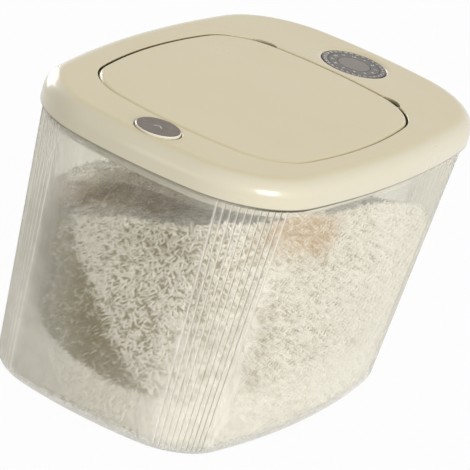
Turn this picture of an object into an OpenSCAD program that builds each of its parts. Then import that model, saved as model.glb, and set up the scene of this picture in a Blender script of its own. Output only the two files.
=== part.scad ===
// Rice bin with a lift-off lid, a push-button flap and a two-ring date dial.
// Front is -Y, where the button is. The dial is at the back and +Z is up.
// The origin is the middle of the bottom face. All sizes are in millimetres.

/* [Tub] */
// Half width of the tub's mouth
tub_half_w = 107.4; // [104:0.5:112]
// Half depth of the tub's mouth
tub_half_d = 162.8; // [160:0.5:170]
// Corner radius of the tub's mouth
tub_corner_r = 66.1; // [60:0.5:70]
// How far each side of the mouth bulges
side_bulge = 17.8; // [14:0.2:20]
// Half width of the tub's foot
foot_half_w = 94.9; // [90:0.5:100]
// Half depth of the tub's foot
foot_half_d = 146.2; // [140:0.5:152]
// Corner radius of the tub's foot
foot_corner_r = 50.3; // [46:0.5:56]
// Height of the tub's rim
tub_h = 191.5; // [170:0.5:230]
// Thickness of the tub's wall
tub_wall = 2.5; // [2:0.1:3.2]
// Thickness of the tub's floor
floor_t = 4; // [3:0.1:5]
// Radius of the outer edge between wall and floor
foot_edge_r = 8.1; // [6:0.1:10]
// Radius of the inner edge between wall and floor
floor_edge_r = 6; // [4:0.1:8]
// Flutes at each corner
reed_count = 10; // [6:1:12]
// Depth of the flutes
reed_depth = 0.7; // [0.3:0.1:1]
// Angle that the flutes of one corner span
reed_span = 42; // [36:1:46]

/* [Lid] */
// Height of the lid's visible side
lid_h = 19; // [18:0.1:24]
// How far the skirt reaches below the tub's rim
skirt_overlap = 4.5; // [3.5:0.1:6]
// Radius of the lid's top edge
lid_edge_r = 11.5; // [10:0.1:12.5]
// Thickness of the lid's skirt
skirt_wall = 2; // [1.6:0.1:2.4]
// Thickness of the lid's top
lid_top_t = 2.5; // [2.2:0.1:2.8]
// Gap between the skirt and the tub
skirt_gap = 0.6; // [0.4:0.1:1]
// Thickness of the plate inside the lid
liner_t = 2; // [1.6:0.1:2.4]
// Thickness of the silicone ring on the tub's rim
lid_seal_t = 1.5; // [1.2:0.1:2]
// Depth of the plug wall below the plate
plug_h = 13; // [8:0.5:18]
// Thickness of the plug wall
plug_wall = 1.8; // [1.4:0.1:2.2]
// Gap between the plug wall and the tub
plug_gap = 1.2; // [0.8:0.1:1.6]

/* [Flap] */
// Distance from the side of the tub's mouth to the flap
flap_side_in = 21.8; // [20:0.1:24]
// Distance from the button's hole to the flap
flap_to_button = 3.7; // [3.5:0.1:4.1]
// Distance from the flap to the dial's recess
flap_to_dial = 4.7; // [4.2:0.1:5.5]
// Corner radius of the flap
flap_corner_r = 44.8; // [40:0.5:50]
// How far each side of the flap bulges
flap_bulge = 14.1; // [10:0.2:16]
// Gap around the flap
flap_gap = 0.8; // [0.7:0.1:1]
// Thickness of the flap's top
flap_top_t = 2.7; // [2.5:0.1:2.8]
// Radius of the flap's top edge
flap_edge_r = 3; // [2.9:0.1:3.2]
// Height of the flap's side
flap_h = 5.5; // [5.2:0.1:5.8]
// Thickness of the flap's side
flap_wall = 2; // [1.6:0.1:2.4]
// Thickness of the plate inside the flap
flap_liner_t = 2.2; // [2:0.1:2.4]
// Height of the flap's silicone ring
flap_seal_h = 2.1; // [1.8:0.1:2.4]
// Width of the flap's silicone ring
flap_seal_w = 3.4; // [3:0.1:4]
// Distance from the flap's edge to its silicone ring
flap_seal_in = 7.6; // [7.2:0.1:8.4]

/* [Hinge] */
// Distance from the flap's back edge to the hinge line
hinge_in = 5.8; // [5.4:0.1:6.2]
// Distance from the lid's top to the hinge line
hinge_drop = 3; // [2.9:0.1:3.1]
// Diameter of the hinge pins
hinge_pin_d = 2; // [1.8:0.1:2.2]
// Running clearance around the hinge pins
hinge_clear = 0.05; // [0.03:0.01:0.08]
// Where each hinge pin starts, from the middle
hinge_pin_in = 24; // [22:0.5:26]
// Where each hinge pin ends, from the middle
hinge_pin_out = 62; // [61:0.5:64]
// Wire of the flap's springs
hinge_spring_wire = 0.5; // [0.4:0.05:0.6]

/* [Button] */
// Diameter of the push button
button_d = 30.4; // [26:0.2:31]
// Distance from the front of the tub's mouth to the middle of the button
button_in = 22.6; // [22:0.1:23.8]
// How far the button stands above the lid
button_proud = 1.2; // [0.8:0.1:1.6]
// Gap around the button
button_gap = 0.7; // [0.5:0.1:0.9]
// Travel of the button
button_travel = 2.5; // [2.3:0.1:2.6]
// Thickness of the plate on the button
button_plate_t = 0.9; // [0.6:0.1:1.2]
// Bevel of the button's top edge
button_bevel = 0.6; // [0.3:0.1:0.8]
// Wire of the button's spring
button_spring_wire = 0.8; // [0.6:0.1:1]

/* [Latch] */
// Width of the latch
latch_w = 18; // [17:0.5:19]
// Thickness of the latch
latch_t = 2.8; // [2.6:0.1:3]
// Overlap of the hook and the catch
latch_bite = 1.9; // [1.6:0.1:2.2]
// Play between the sliding faces
slide_play = 0.3; // [0.2:0.05:0.4]
// Wire of the latch's spring
latch_spring_wire = 0.4; // [0.3:0.05:0.5]

/* [Dial] */
// Distance from the back of the tub's mouth to the middle of the dial
dial_in = 40.8; // [39:0.1:42.5]
// Radius of the dial's discs together
dial_r = 22.8; // [22:0.1:23.6]
// Radius of the recess at the lid's top
dial_dish_r = 27.5; // [26.5:0.1:28]
// Radius where the day ring meets the month ring
dial_split_r = 18.5; // [18:0.1:19]
// Radius of the plain disc in the middle
dial_cap_r = 11.5; // [11:0.1:12]
// Depth of the dial's face below the lid's top
dial_drop = 1; // [0.6:0.1:1.4]
// Thickness of the dial's discs
dial_t = 5.2; // [4.8:0.1:5.6]
// Gap around each ring
dial_gap = 0.3; // [0.2:0.05:0.4]

/* [Fasteners] */
// Diameter of the lid's screws
lid_screw_d = 2.9; // [2.6:0.1:3.2]
// Diameter of the flap's screws
flap_screw_d = 2.2; // [2:0.1:2.4]
// Gap around a screw in a through hole
screw_gap = 0.25; // [0.15:0.05:0.4]

/* [Hidden] */
eps = 0.01;
round_fn = 64;

// Samples of the outlines: each half side, and each plain corner
side_steps = 4;
corner_steps = 12;
// Samples of the rounded edges
edge_steps = 4;
// Points of one flute: a valley and two points of its crown
reed_points = 3;
// Stations in one turn of a coil, and sides of its wire
coil_steps = 10;
wire_sides = 6;

// Heights
lid_bottom = tub_h - skirt_overlap;
lid_top = lid_bottom + lid_h;
ceiling = lid_top - lid_top_t;
plate_z = tub_h + lid_seal_t;
plate_top = plate_z + liner_t;
skirt_out = skirt_wall + skirt_gap;
skirt_hem = 0.5;
plate_gap = 0.3;

// Tub
taper_top = lid_bottom - 1;
reed_end = lid_bottom + 1.5;
rim_round = 0.5;
foot_ring_w = 7;
foot_hollow = 1.2;

// Places along the lid, from the front to the back
button_y = button_in - tub_half_d;
button_r = button_d / 2;
button_hole_r = button_r + button_gap;
flap_front = button_y + button_hole_r + flap_to_button;
dial_y = tub_half_d - dial_in;
flap_back = dial_y - dial_dish_r - flap_to_dial;

// Flap
flap_half_w = tub_half_w - flap_side_in;
flap_half_d = (flap_back - flap_front) / 2;
flap_y = (flap_back + flap_front) / 2;
flap_bottom = lid_top - flap_h;
flap_ceiling = lid_top - flap_top_t;
flap_liner_z = flap_bottom - flap_liner_t;
flap_liner_in = flap_wall + 0.5;
flap_groove = 0.8;
flap_seal_z = flap_liner_z + flap_groove - flap_seal_h;
seal_play = 0.2;
lip_wall = 1.8;
lip_in = flap_seal_in + (flap_seal_w - lip_wall) / 2;
mouth_depth = 4;
lip_t = 1.5;
lip_round = 0.7;
lip_slope = 0.4;
lip_undercut = 1.2;

// Hinge
hinge_y = flap_back - hinge_in;
hinge_z = lid_top - hinge_drop;
hinge_r = hinge_pin_d / 2;
hinge_bore_r = hinge_r + hinge_clear;
flap_boss_r = 2.2;
flap_boss_x = [hinge_pin_in + 9.5, hinge_pin_in + 18.5];
lid_boss_r = 2.4;
socket_clear = 1;
swing_r = 12;
swing_depth = 3.1;
spring_x = [hinge_pin_in + 1, hinge_pin_in + 7.5];
spring_clear = 0.35;
spring_r = hinge_r + spring_clear + hinge_spring_wire / 2;
spring_turns = 5.75;
spring_seat = 0.1;
spring_leg = 9;
spring_room = 2.15;
spring_notch = [hinge_pin_in - 0.5, hinge_pin_in + 9];

// Button
button_top = lid_top + button_proud;
button_plate_r = button_r - 0.75;
button_plate_sink = 0.6;
flange_r = button_hole_r + 0.7;
flange_t = 1;
flange_top = ceiling - 0.8;
flange_z = flange_top - flange_t;
button_collar_r = flange_r + 1;
stem_r = 6;
stem_bore_r = 4.5;
stem_bottom = plate_top + 2;
well_wall = 1.6;
well_play = 0.6;
well_r = stem_r + well_play;
well_floor = plate_z - 3.5;
well_floor_t = 1.5;
button_spring_r = 3.6;
button_spring_turns = 6;

// Latch
latch_z = plate_top + slide_play;
latch_top = latch_z + latch_t;
catch_w = 12;
catch_foot_t = 1.3;
catch_tab_t = 1.6;
catch_tab_y = flap_front + 3.2;
hook_w = 14;
hook_lift = 1.7;
hook_z = latch_z + hook_lift;
catch_foot_z = hook_z - slide_play - catch_foot_t;
hook_y = catch_tab_y - slide_play;
catch_tip = hook_y - latch_bite;
latch_back = flap_front - 0.5;
wedge_dip = 0.4;
wedge_w = 10;
wedge_tip_y = button_y - stem_r - 2.1;
window_w = 2 * well_r;
window_back = button_y + stem_r + button_travel + 0.45;
latch_front = ramp_at(latch_top) - 3;
wing_t = 1.3;
wing_w = 2;
rail_play = 0.3;
rail_wall = 1.7;
rail_rise = 0.1;
rail_y = [button_y - 9, button_y + 16];
latch_spring_l = 4.6;
stop_t = 1.6;
stop_y = [latch_front - latch_spring_l - stop_t, latch_front - latch_spring_l];
stop_w = 10;
latch_spring_r = 1.1;
latch_spring_turns = 4;

// Dial
dial_face = lid_top - dial_drop;
dial_floor_z = dial_face - dial_t - dial_gap;
dial_well_r = dial_r + dial_gap;
dial_well_wall = 2.2;
dial_floor_t = 2;
dish_depth = 2.2;
ring_step = 3.2;
ring_foot_z = dial_floor_z + dial_gap;
ring_shelf_t = 2.8;
cap_disc_t = 1.8;
dial_hub_r = 8;

// Screws
lid_screw_r = lid_screw_d / 2;
flap_screw_r = flap_screw_d / 2;
pilot_gap = 0.05;
lid_boss_screw_r = 3.5;
flap_boss_screw_r = 3.2;
head_t = 1.6;
lid_head_r = 3;
lid_screw_l = 8;
flap_head_r = 2.4;
flap_screw_l = 6;
// How far the lid's screws stand in from the side: beside the flap, by the dial and by the button
side_screw_in = 15.9;
dial_screw_in = 41.4;
button_screw_in = 55.4;
button_screw_back = 1.2;
side_screw_y = [-60, 35];
// How far the flap's screws stand in from its side, its front and the hinge line
flap_screw_in = 26.1;
flap_screw_back = 28.6;
hinge_screw_in = 22.5;
// One half of the lid's screws as [x, y]
lid_screw_at = [
    [tub_half_w - side_screw_in, side_screw_y[0]],
    [tub_half_w - side_screw_in, side_screw_y[1]],
    [tub_half_w - dial_screw_in, dial_y],
    [tub_half_w - button_screw_in, button_y + button_screw_back]
];
// One half of the flap's screws as [x, y]
flap_screw_at = [
    [flap_half_w - flap_screw_in, flap_front + flap_screw_back],
    [flap_half_w - flap_screw_in, hinge_y - hinge_screw_in]
];

// Outlines
// One quarter of a rounded rectangle with bulging sides, as [x, y, normal x, normal y, flute]
function quarter(a, b, r, s, reeded) =
    let (
        rx = (b * b + s * s) / (2 * s),
        ry = (a * a + s * s) / (2 * s),
        cx = a - rx,
        cy = b - ry,
        span = norm([cx, cy]),
        along = ((rx - r) * (rx - r) - (ry - r) * (ry - r) + span * span) / (2 * span),
        off = sqrt((rx - r) * (rx - r) - along * along),
        ux = -cx / span,
        uy = cy / span,
        px = cx + along * ux - off * uy,
        py = along * uy + off * ux,
        from = atan2(py, px - cx),
        to = atan2(py - cy, px)
    )
    concat(
        [for (k = [0:side_steps - 1]) arc_point(cx, 0, rx, from * k / side_steps, 0)],
        [for (k = corner_list(from, to, reeded)) arc_point(px, py, r, k[0], k[1])],
        [for (k = [0:side_steps - 1]) arc_point(0, cy, ry, to + (90 - to) * k / side_steps, 0)]
    );

// A point of an arc about a centre, with its normal
function arc_point(cx, cy, r, angle, flute) =
    [cx + r * cos(angle), cy + r * sin(angle), cos(angle), sin(angle), flute];

// The angles of a corner's points, each with 1 in a flute's valley
function corner_list(from, to, reeded) =
    reeded ? reeded_list(from, to)
           : [for (k = [0:corner_steps - 1]) [from + (to - from) * k / corner_steps, 0]];
function reeded_list(from, to) =
    let (first = (from + to - reed_span) / 2, last = reed_points * reed_count)
    concat(
        [[from, 0]],
        [for (k = [-1:last + 1])
            [first + reed_span * k / last, k >= 0 && k <= last && k % reed_points == 0 ? 1 : 0]]
    );

// The whole outline, anticlockwise from +X, out of one quarter
function whole(q) =
    let (n = len(q))
    concat(
        q,
        [[0, q_top(q), 0, 1, 0]],
        [for (k = [1:n - 1]) [-q[n - k][0], q[n - k][1], -q[n - k][2], q[n - k][3], q[n - k][4]]],
        [for (p = q) [-p[0], -p[1], -p[2], -p[3], p[4]]],
        [[0, -q_top(q), 0, -1, 0]],
        [for (k = [1:n - 1]) [q[n - k][0], -q[n - k][1], q[n - k][2], -q[n - k][3], q[n - k][4]]]
    );
// The half depth that a quarter ends at: its last arc carried on to the middle
function q_top(q) =
    let (p = q[len(q) - 1]) p[1] + p[0] * (1 - p[3]) / p[2];

function moved(outline, dy) = [for (p = outline) [p[0], p[1] + dy, p[2], p[3], p[4]]];
function mixed(low, high, t) = [for (k = [0:len(low) - 1]) low[k] + (high[k] - low[k]) * t];

// A ring of points set in from an outline at one height
function ring(outline, inset, z, flute = 0) =
    [for (p = outline)
        [p[0] - p[2] * (inset + flute * p[4]), p[1] - p[3] * (inset + flute * p[4]), z]];
function flat(outline, inset) = [for (p = outline) [p[0] - p[2] * inset, p[1] - p[3] * inset]];

mouth_outline = whole(quarter(tub_half_w, tub_half_d, tub_corner_r, side_bulge, true));
foot_outline = whole(quarter(foot_half_w, foot_half_d, foot_corner_r, side_bulge, true));
rim_outline = whole(quarter(tub_half_w, tub_half_d, tub_corner_r, side_bulge, false));
flap_outline = moved(whole(quarter(flap_half_w, flap_half_d, flap_corner_r, flap_bulge, false)), flap_y);

// The point of the flap's outline on its right at a place along the lid, with the normal there
function flap_crossing(y) =
    let (n = len(flap_outline))
    [for (k = [0:n - 2])
        let (p = flap_outline[k], q = flap_outline[k + 1])
        if (p[0] > 0 && p[1] <= y && q[1] > y) p + (q - p) * (y - p[1]) / (q[1] - p[1])][0];

// The tub's outline at a height: tapered up to the lid and upright inside it
function tub_outline(z) = mixed(foot_outline, mouth_outline, min(z, taper_top) / taper_top);
function tub_ring(inset, z, flute = 0) = ring(tub_outline(z), inset, z, flute);

// Solids
// A closed skin through a list of rings, with flat ends or joined into a loop
module loft(rings, loop = false) {
    n = len(rings[0]);
    m = len(rings);
    sides = [for (j = [0:m - (loop ? 1 : 2)], k = [0:n - 1])
        [j * n + k, ((j + 1) % m) * n + k, ((j + 1) % m) * n + (k + 1) % n, j * n + (k + 1) % n]];
    ends = loop ? [] : [[for (k = [0:n - 1]) k], [for (k = [n - 1:-1:0]) (m - 1) * n + k]];
    polyhedron([for (r = rings) each r], concat(sides, ends), convexity = 8);
}

// A plate with the shape of an outline
module plate(outline, inset, z0, z1) {
    translate([0, 0, z0])
        linear_extrude(z1 - z0)
            polygon(flat(outline, inset));
}

// A wall along an outline
module wall(outline, out_inset, in_inset, z0, z1) {
    translate([0, 0, z0])
        linear_extrude(z1 - z0)
            difference() {
                polygon(flat(outline, out_inset));
                polygon(flat(outline, in_inset));
            }
}

// A round bar along X between two places
module x_bar(x0, x1, r, y, z) {
    translate([x0, y, z])
        rotate([0, 90, 0])
            cylinder(h = x1 - x0, r = r, $fn = round_fn);
}

// A block between two corners
module block(low, high) {
    translate(low)
        cube(high - low);
}

module both_sides() {
    children();
    mirror([1, 0, 0])
        children();
}

// A block that is centred on the middle of X
module mid_block(w, y, z) {
    block([-w / 2, y[0], z[0]], [w / 2, y[1], z[1]]);
}

// Wire along a list of [point, direction away from the coil's axis], the axis being Z
module wire(stations, d) {
    loft([for (s = stations)
        [for (k = [0:wire_sides - 1])
            let (a = 360 * k / wire_sides)
            s[0] + d / 2 * (cos(a) * s[1] + sin(a) * [0, 0, 1])]]);
}

// The stations of a coil between two heights, clockwise where the turns are negative
function coil(r, turns, z0, z1) =
    let (n = round(abs(turns) * coil_steps))
    [for (k = [0:n])
        let (a = 360 * turns * k / n)
        [[r * cos(a), r * sin(a), z0 + (z1 - z0) * k / n], [cos(a), sin(a), 0]]];

// A spring that stands between two faces
module spring_between(r, turns, z0, z1, d) {
    wire(coil(r, turns, z0 + d / 2 + spring_seat, z1 - d / 2 - spring_seat), d);
}

// A screw that points up, with its head below a face at z
module screw(r, head_r, length, z) {
    translate([0, 0, z - head_t])
        cylinder(h = head_t, r = head_r, $fn = round_fn);
    translate([0, 0, z])
        cylinder(h = length, r = r, $fn = round_fn);
}

module at(places) {
    for (p = places)
        translate([p[0], p[1], 0])
            children();
}

// Tub
module bin_body() {
    // The outer skin from the hollow under the foot up to the rim
    outside = concat(
        [tub_ring(foot_edge_r + foot_ring_w + foot_hollow, foot_hollow),
         tub_ring(foot_edge_r + foot_ring_w, 0)],
        [for (k = [0:edge_steps - 1])
            let (a = 90 * k / (edge_steps - 1), z = foot_edge_r * (1 - cos(a)))
            ring(tub_outline(z), foot_edge_r * (1 - sin(a)), z, k == edge_steps - 1 ? reed_depth : 0)],
        [tub_ring(0, taper_top, reed_depth),
         tub_ring(0, reed_end),
         tub_ring(0, tub_h - rim_round),
         tub_ring(rim_round, tub_h)]
    );
    // The inner skin from the rim down to the floor
    inside = concat(
        [tub_ring(tub_wall, tub_h),
         tub_ring(tub_wall, taper_top)],
        [for (k = [0:2])
            let (a = 45 * k, z = floor_t + floor_edge_r * (1 - sin(a)))
            ring(tub_outline(z), tub_wall + floor_edge_r * (1 - cos(a)), z)]
    );
    color([0.86, 0.87, 0.84, 0.4])
        loft(concat(outside, inside));
}

// Lid
module lid_skin() {
    edge_z = lid_top - lid_edge_r;
    edge = [for (k = [0:edge_steps])
        let (a = 90 * k / edge_steps)
        ring(rim_outline, lid_edge_r * (1 - cos(a)) - skirt_out, edge_z + lid_edge_r * sin(a))];
    inner_edge = [for (k = [edge_steps:-1:0])
        let (a = 90 * k / edge_steps)
        ring(rim_outline, lid_edge_r - (lid_edge_r - skirt_wall) * cos(a) - skirt_out,
             edge_z + (lid_edge_r - lid_top_t) * sin(a))];
    loft(concat(
        [ring(rim_outline, skirt_hem - skirt_out, lid_bottom),
         ring(rim_outline, -skirt_out, lid_bottom + skirt_hem)],
        edge,
        [ring(flap_outline, -flap_gap - lip_round, lid_top),
         ring(flap_outline, -flap_gap, lid_top - lip_round),
         ring(flap_outline, -flap_gap, lid_top - lip_t),
         ring(flap_outline, -flap_gap - lip_undercut, lid_top - lip_t - lip_slope),
         ring(flap_outline, -flap_gap - lip_undercut, ceiling)],
        inner_edge,
        [ring(rim_outline, skirt_wall - skirt_out, lid_bottom)]
    ), loop = true);
}

// The space of the dial: a dished rim and a round well
module dial_space() {
    translate([0, dial_y, 0])
        rotate_extrude($fn = 2 * round_fn)
            polygon(concat(
                [[0, dial_floor_z], [dial_well_r, dial_floor_z], [dial_well_r, lid_top - dish_depth]],
                [for (k = [1:6])
                    let (a = 15 * k)
                    [dial_well_r + (dial_dish_r - dial_well_r) * (1 - cos(a)),
                     lid_top - dish_depth + dish_depth * sin(a)]],
                [[dial_dish_r, lid_top + 1], [0, lid_top + 1]]
            ));
}

module lid_frame() {
    color([0.81, 0.78, 0.66])
        difference() {
            union() {
                difference() {
                    lid_skin();
                    both_sides()
                        swing_room();
                }
                // Cup under the dial
                translate([0, dial_y, dial_floor_z - dial_floor_t])
                    cylinder(h = ceiling + 0.5 - dial_floor_z + dial_floor_t,
                             r = dial_well_r + dial_well_wall, $fn = 2 * round_fn);
                // Collar that the button's flange rests against
                translate([0, button_y, flange_top + 0.2])
                    cylinder(h = ceiling + 0.5 - flange_top - 0.2, r = button_collar_r, $fn = round_fn);
                // Posts for the screws
                both_sides()
                    at(lid_screw_at)
                        translate([0, 0, plate_top])
                            cylinder(h = ceiling + 0.4 - plate_top, r = lid_boss_screw_r, $fn = round_fn);
                // Sockets of the hinge pins
                both_sides()
                    hinge_socket();
            }
            dial_space();
            translate([0, dial_y, dial_floor_z - dial_floor_t - 1])
                cylinder(h = dial_floor_t + 2, r = lid_screw_r + screw_gap, $fn = round_fn);
            // Hole of the button with a bevelled mouth
            translate([0, button_y, flange_top - 1])
                cylinder(h = lid_top - flange_top + 3, r = button_hole_r, $fn = 2 * round_fn);
            translate([0, button_y, lid_top - 0.8])
                cylinder(h = 1.2, r1 = button_hole_r - 0.1, r2 = button_hole_r + 1.1, $fn = 2 * round_fn);
            both_sides() {
                at(lid_screw_at)
                    translate([0, 0, plate_top - 1])
                        cylinder(h = ceiling - 1 - plate_top, r = lid_screw_r + pilot_gap, $fn = round_fn);
                x_bar(hinge_pin_in, hinge_pin_out + 0.3, hinge_bore_r, hinge_y, hinge_z);
            }
        }
}

// The socket of a hinge pin, beside the flap's corner
module hinge_socket() {
    x0 = flap_crossing(hinge_y - lid_boss_r)[0] + socket_clear;
    x_bar(x0, hinge_pin_out + 1.5, lid_boss_r, hinge_y, hinge_z);
}

// The room in the lid's lip that the flap's corner swings through at the hinge line
module swing_room() {
    p = flap_crossing(hinge_y);
    away = flap_gap + swing_depth - swing_r;
    translate([p[0] + p[2] * away, p[1] + p[3] * away, ceiling - 1])
        cylinder(h = lid_top_t + 2, r = swing_r, $fn = 2 * round_fn);
}

module latch_rails() {
    inner = latch_w / 2 + rail_play;
    outer = inner + wing_w + rail_wall;
    wing_top = latch_z + wing_t + slide_play;
    both_sides() {
        block([inner + wing_w, rail_y[0], plate_top - eps], [outer, rail_y[1], latch_top + rail_rise]);
        block([inner, rail_y[0], wing_top], [inner + wing_w + eps, rail_y[1], latch_top + rail_rise]);
    }
}

module lid_liner() {
    plug_in = tub_wall + plug_gap;
    color([0.86, 0.84, 0.76])
        difference() {
            union() {
                // Plate, plug wall, and the lip around the mouth
                wall_between(plate_gap - skirt_gap, plate_z, plate_top);
                wall(rim_outline, plug_in, plug_in + plug_wall, plate_z - plug_h, plate_z + eps);
                wall(flap_outline, lip_in, lip_in + lip_wall, plate_z - mouth_depth, flap_seal_z);
                // Well of the button's spring
                translate([0, button_y, well_floor - well_floor_t])
                    cylinder(
                        h = plate_z + eps - well_floor + well_floor_t,
                        r = well_r + well_wall,
                        $fn = round_fn
                    );
                latch_rails();
                // Stop of the latch's spring
                mid_block(stop_w, stop_y, [plate_top - eps, latch_top + rail_rise]);
            }
            translate([0, button_y, well_floor])
                cylinder(h = plate_top + 1 - well_floor, r = well_r, $fn = round_fn);
            both_sides()
                at(lid_screw_at)
                    translate([0, 0, plate_z - 1])
                        cylinder(h = liner_t + 2, r = lid_screw_r + screw_gap, $fn = round_fn);
        }
}

// The plate between the skirt and the mouth
module wall_between(inset, z0, z1) {
    translate([0, 0, z0])
        linear_extrude(z1 - z0)
            difference() {
                polygon(flat(rim_outline, inset));
                polygon(flat(flap_outline, lip_in + lip_wall / 2));
            }
}

module lid_seal() {
    color([0.93, 0.93, 0.9])
        wall(rim_outline, 0.3, tub_wall + plug_gap, tub_h, plate_z);
}

module lid_screws() {
    color([0.7, 0.7, 0.72])
        both_sides()
            at(lid_screw_at)
                screw(lid_screw_r, lid_head_r, lid_screw_l, plate_z);
}

// Flap
module flip_panel() {
    edge = [for (k = [0:edge_steps])
        let (a = 90 * k / edge_steps)
        ring(flap_outline, flap_edge_r * (1 - cos(a)), lid_top - flap_edge_r * (1 - sin(a)))];
    color([0.81, 0.78, 0.66])
        difference() {
            union() {
                loft(concat(
                    [ring(flap_outline, flap_wall, flap_ceiling),
                     ring(flap_outline, flap_wall, flap_bottom),
                     ring(flap_outline, 0, flap_bottom)],
                    edge
                ));
                // Knuckles around the hinge pins, inside the flap's outline
                both_sides()
                    intersection() {
                        x_bar(flap_boss_x[0], flap_boss_x[1], flap_boss_r, hinge_y, hinge_z);
                        plate(flap_outline, 0.4, flap_bottom, lid_top);
                    }
                both_sides()
                    at(flap_screw_at)
                        translate([0, 0, flap_bottom])
                            cylinder(
                                h = flap_ceiling + 0.4 - flap_bottom,
                                r = flap_boss_screw_r,
                                $fn = round_fn
                            );
            }
            both_sides() {
                x_bar(flap_boss_x[0] - 1, hinge_pin_out, hinge_bore_r, hinge_y, hinge_z);
                // Room for the coil of the spring, and a notch for its leg
                x_bar(spring_notch[0], spring_notch[1], spring_room, hinge_y, hinge_z);
                block([spring_notch[0], hinge_y, flap_bottom - 1],
                      [spring_notch[1], hinge_y + hinge_in + 2, flap_ceiling]);
                at(flap_screw_at)
                    translate([0, 0, flap_bottom - 1])
                        cylinder(h = 5, r = flap_screw_r + pilot_gap, $fn = round_fn);
            }
        }
}

module panel_liner() {
    color([0.86, 0.84, 0.76]) {
        difference() {
            plate(flap_outline, flap_liner_in, flap_liner_z, flap_bottom);
            wall(flap_outline, flap_seal_in - seal_play, flap_seal_in + flap_seal_w + seal_play,
                 flap_liner_z - 1, flap_liner_z + flap_groove);
            both_sides() {
                block([spring_notch[0], hinge_y - 2.3, flap_liner_z - 1],
                      [spring_notch[1], hinge_y + hinge_in + 2, flap_bottom + 1]);
                at(flap_screw_at)
                    translate([0, 0, flap_liner_z - 1])
                        cylinder(h = flap_liner_t + 2, r = flap_screw_r + screw_gap, $fn = round_fn);
            }
        }
        // Catch for the latch's hook
        mid_block(catch_w, [catch_tab_y, catch_tab_y + catch_tab_t], [catch_foot_z, flap_liner_z + eps]);
        mid_block(catch_w, [catch_tip, catch_tab_y + eps], [catch_foot_z, catch_foot_z + catch_foot_t]);
    }
}

module panel_seal() {
    color([0.93, 0.93, 0.9])
        wall(flap_outline, flap_seal_in, flap_seal_in + flap_seal_w, flap_seal_z, flap_seal_z + flap_seal_h);
}

module panel_screws() {
    color([0.7, 0.7, 0.72])
        both_sides()
            at(flap_screw_at)
                screw(flap_screw_r, flap_head_r, flap_screw_l, flap_liner_z);
}

// Hinge
module hinge_pin() {
    color([0.75, 0.75, 0.77])
        x_bar(hinge_pin_in, hinge_pin_out, hinge_r, hinge_y, hinge_z);
}

// The coil turns about the pin. One leg stands on the lid's plate and one lies under the flap's top.
module hinge_spring() {
    turns = coil(spring_r, -spring_turns, 0, spring_x[1] - spring_x[0]);
    foot = [[spring_r, hinge_z - plate_top - hinge_spring_wire / 2, 0], [1, 0, 0]];
    last = turns[len(turns) - 1];
    tip = [last[0] + [spring_leg, 0, 0], last[1]];
    color([0.7, 0.7, 0.72])
        translate([spring_x[0], hinge_y, hinge_z])
            rotate([90, 0, 90])
                rotate([0, 0, 180])
                    wire(concat([foot], turns, [tip]), hinge_spring_wire);
}

// Button
module button_body() {
    color([0.9, 0.88, 0.8])
        difference() {
            union() {
                translate([0, button_y, 0])
                    rotate_extrude($fn = 2 * round_fn)
                        polygon([
                            [0, flange_z], [flange_r, flange_z], [flange_r, flange_top],
                            [button_r, flange_top], [button_r, button_top - button_bevel],
                            [button_r - button_bevel, button_top], [0, button_top]
                        ]);
                translate([0, button_y, stem_bottom])
                    cylinder(h = flange_z - stem_bottom + eps, r = stem_r, $fn = round_fn);
                // Wedge that pushes the latch forward
                wedge();
            }
            translate([0, button_y, stem_bottom - 1])
                cylinder(h = flange_z - stem_bottom + 1, r = stem_bore_r, $fn = round_fn);
            translate([0, button_y, button_top - button_plate_sink])
                cylinder(h = 2, r = button_plate_r + 0.1, $fn = 2 * round_fn);
        }
}

module wedge() {
    low = latch_top - wedge_dip;
    rise = flange_z - low;
    translate([-wedge_w / 2, 0, 0])
        rotate([90, 0, 90])
            linear_extrude(wedge_w)
                polygon([
                    [wedge_tip_y, low], [button_y - stem_bore_r - 0.5, low],
                    [button_y - stem_bore_r - 0.5, flange_z + eps], [wedge_tip_y - rise, flange_z + eps]
                ]);
}

module button_plate() {
    color([0.48, 0.46, 0.43])
        translate([0, button_y, button_top - button_plate_sink])
            cylinder(h = button_plate_t, r = button_plate_r, $fn = 2 * round_fn);
}

module button_spring() {
    color([0.7, 0.7, 0.72])
        translate([0, button_y, 0])
            spring_between(button_spring_r, button_spring_turns, well_floor, flange_z, button_spring_wire);
}

// Latch
module latch_slider() {
    color([0.9, 0.9, 0.88])
        difference() {
            union() {
                mid_block(latch_w, [latch_front, latch_back], [latch_z, latch_top]);
                mid_block(latch_w + 2 * wing_w, [latch_front, latch_back], [latch_z, latch_z + wing_t]);
                mid_block(hook_w, [latch_back - eps, hook_y], [hook_z, latch_top]);
            }
            // Window around the button's stem, with the ramp at its front edge
            translate([-window_w / 2, 0, 0])
                rotate([90, 0, 90])
                    linear_extrude(window_w)
                        polygon([
                            [ramp_at(latch_z - 1), latch_z - 1], [window_back, latch_z - 1],
                            [window_back, latch_top + 1], [ramp_at(latch_top + 1), latch_top + 1]
                        ]);
        }
}
// The ramp's place along the lid at a height, one play away from the wedge's slope
function ramp_at(z) = wedge_tip_y - slide_play * sqrt(2) - (z - (latch_top - wedge_dip));

module latch_spring() {
    color([0.7, 0.7, 0.72])
        translate([0, stop_y[1], (latch_z + latch_top) / 2])
            rotate([-90, 0, 0])
                spring_between(latch_spring_r, latch_spring_turns, 0, latch_spring_l, latch_spring_wire);
}

// Dial
// A ring of the dial: its upper part is set in or out so that its neighbour holds it down
module dial_disc(points) {
    translate([0, dial_y, 0])
        rotate_extrude($fn = 2 * round_fn)
            polygon(points);
}

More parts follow.
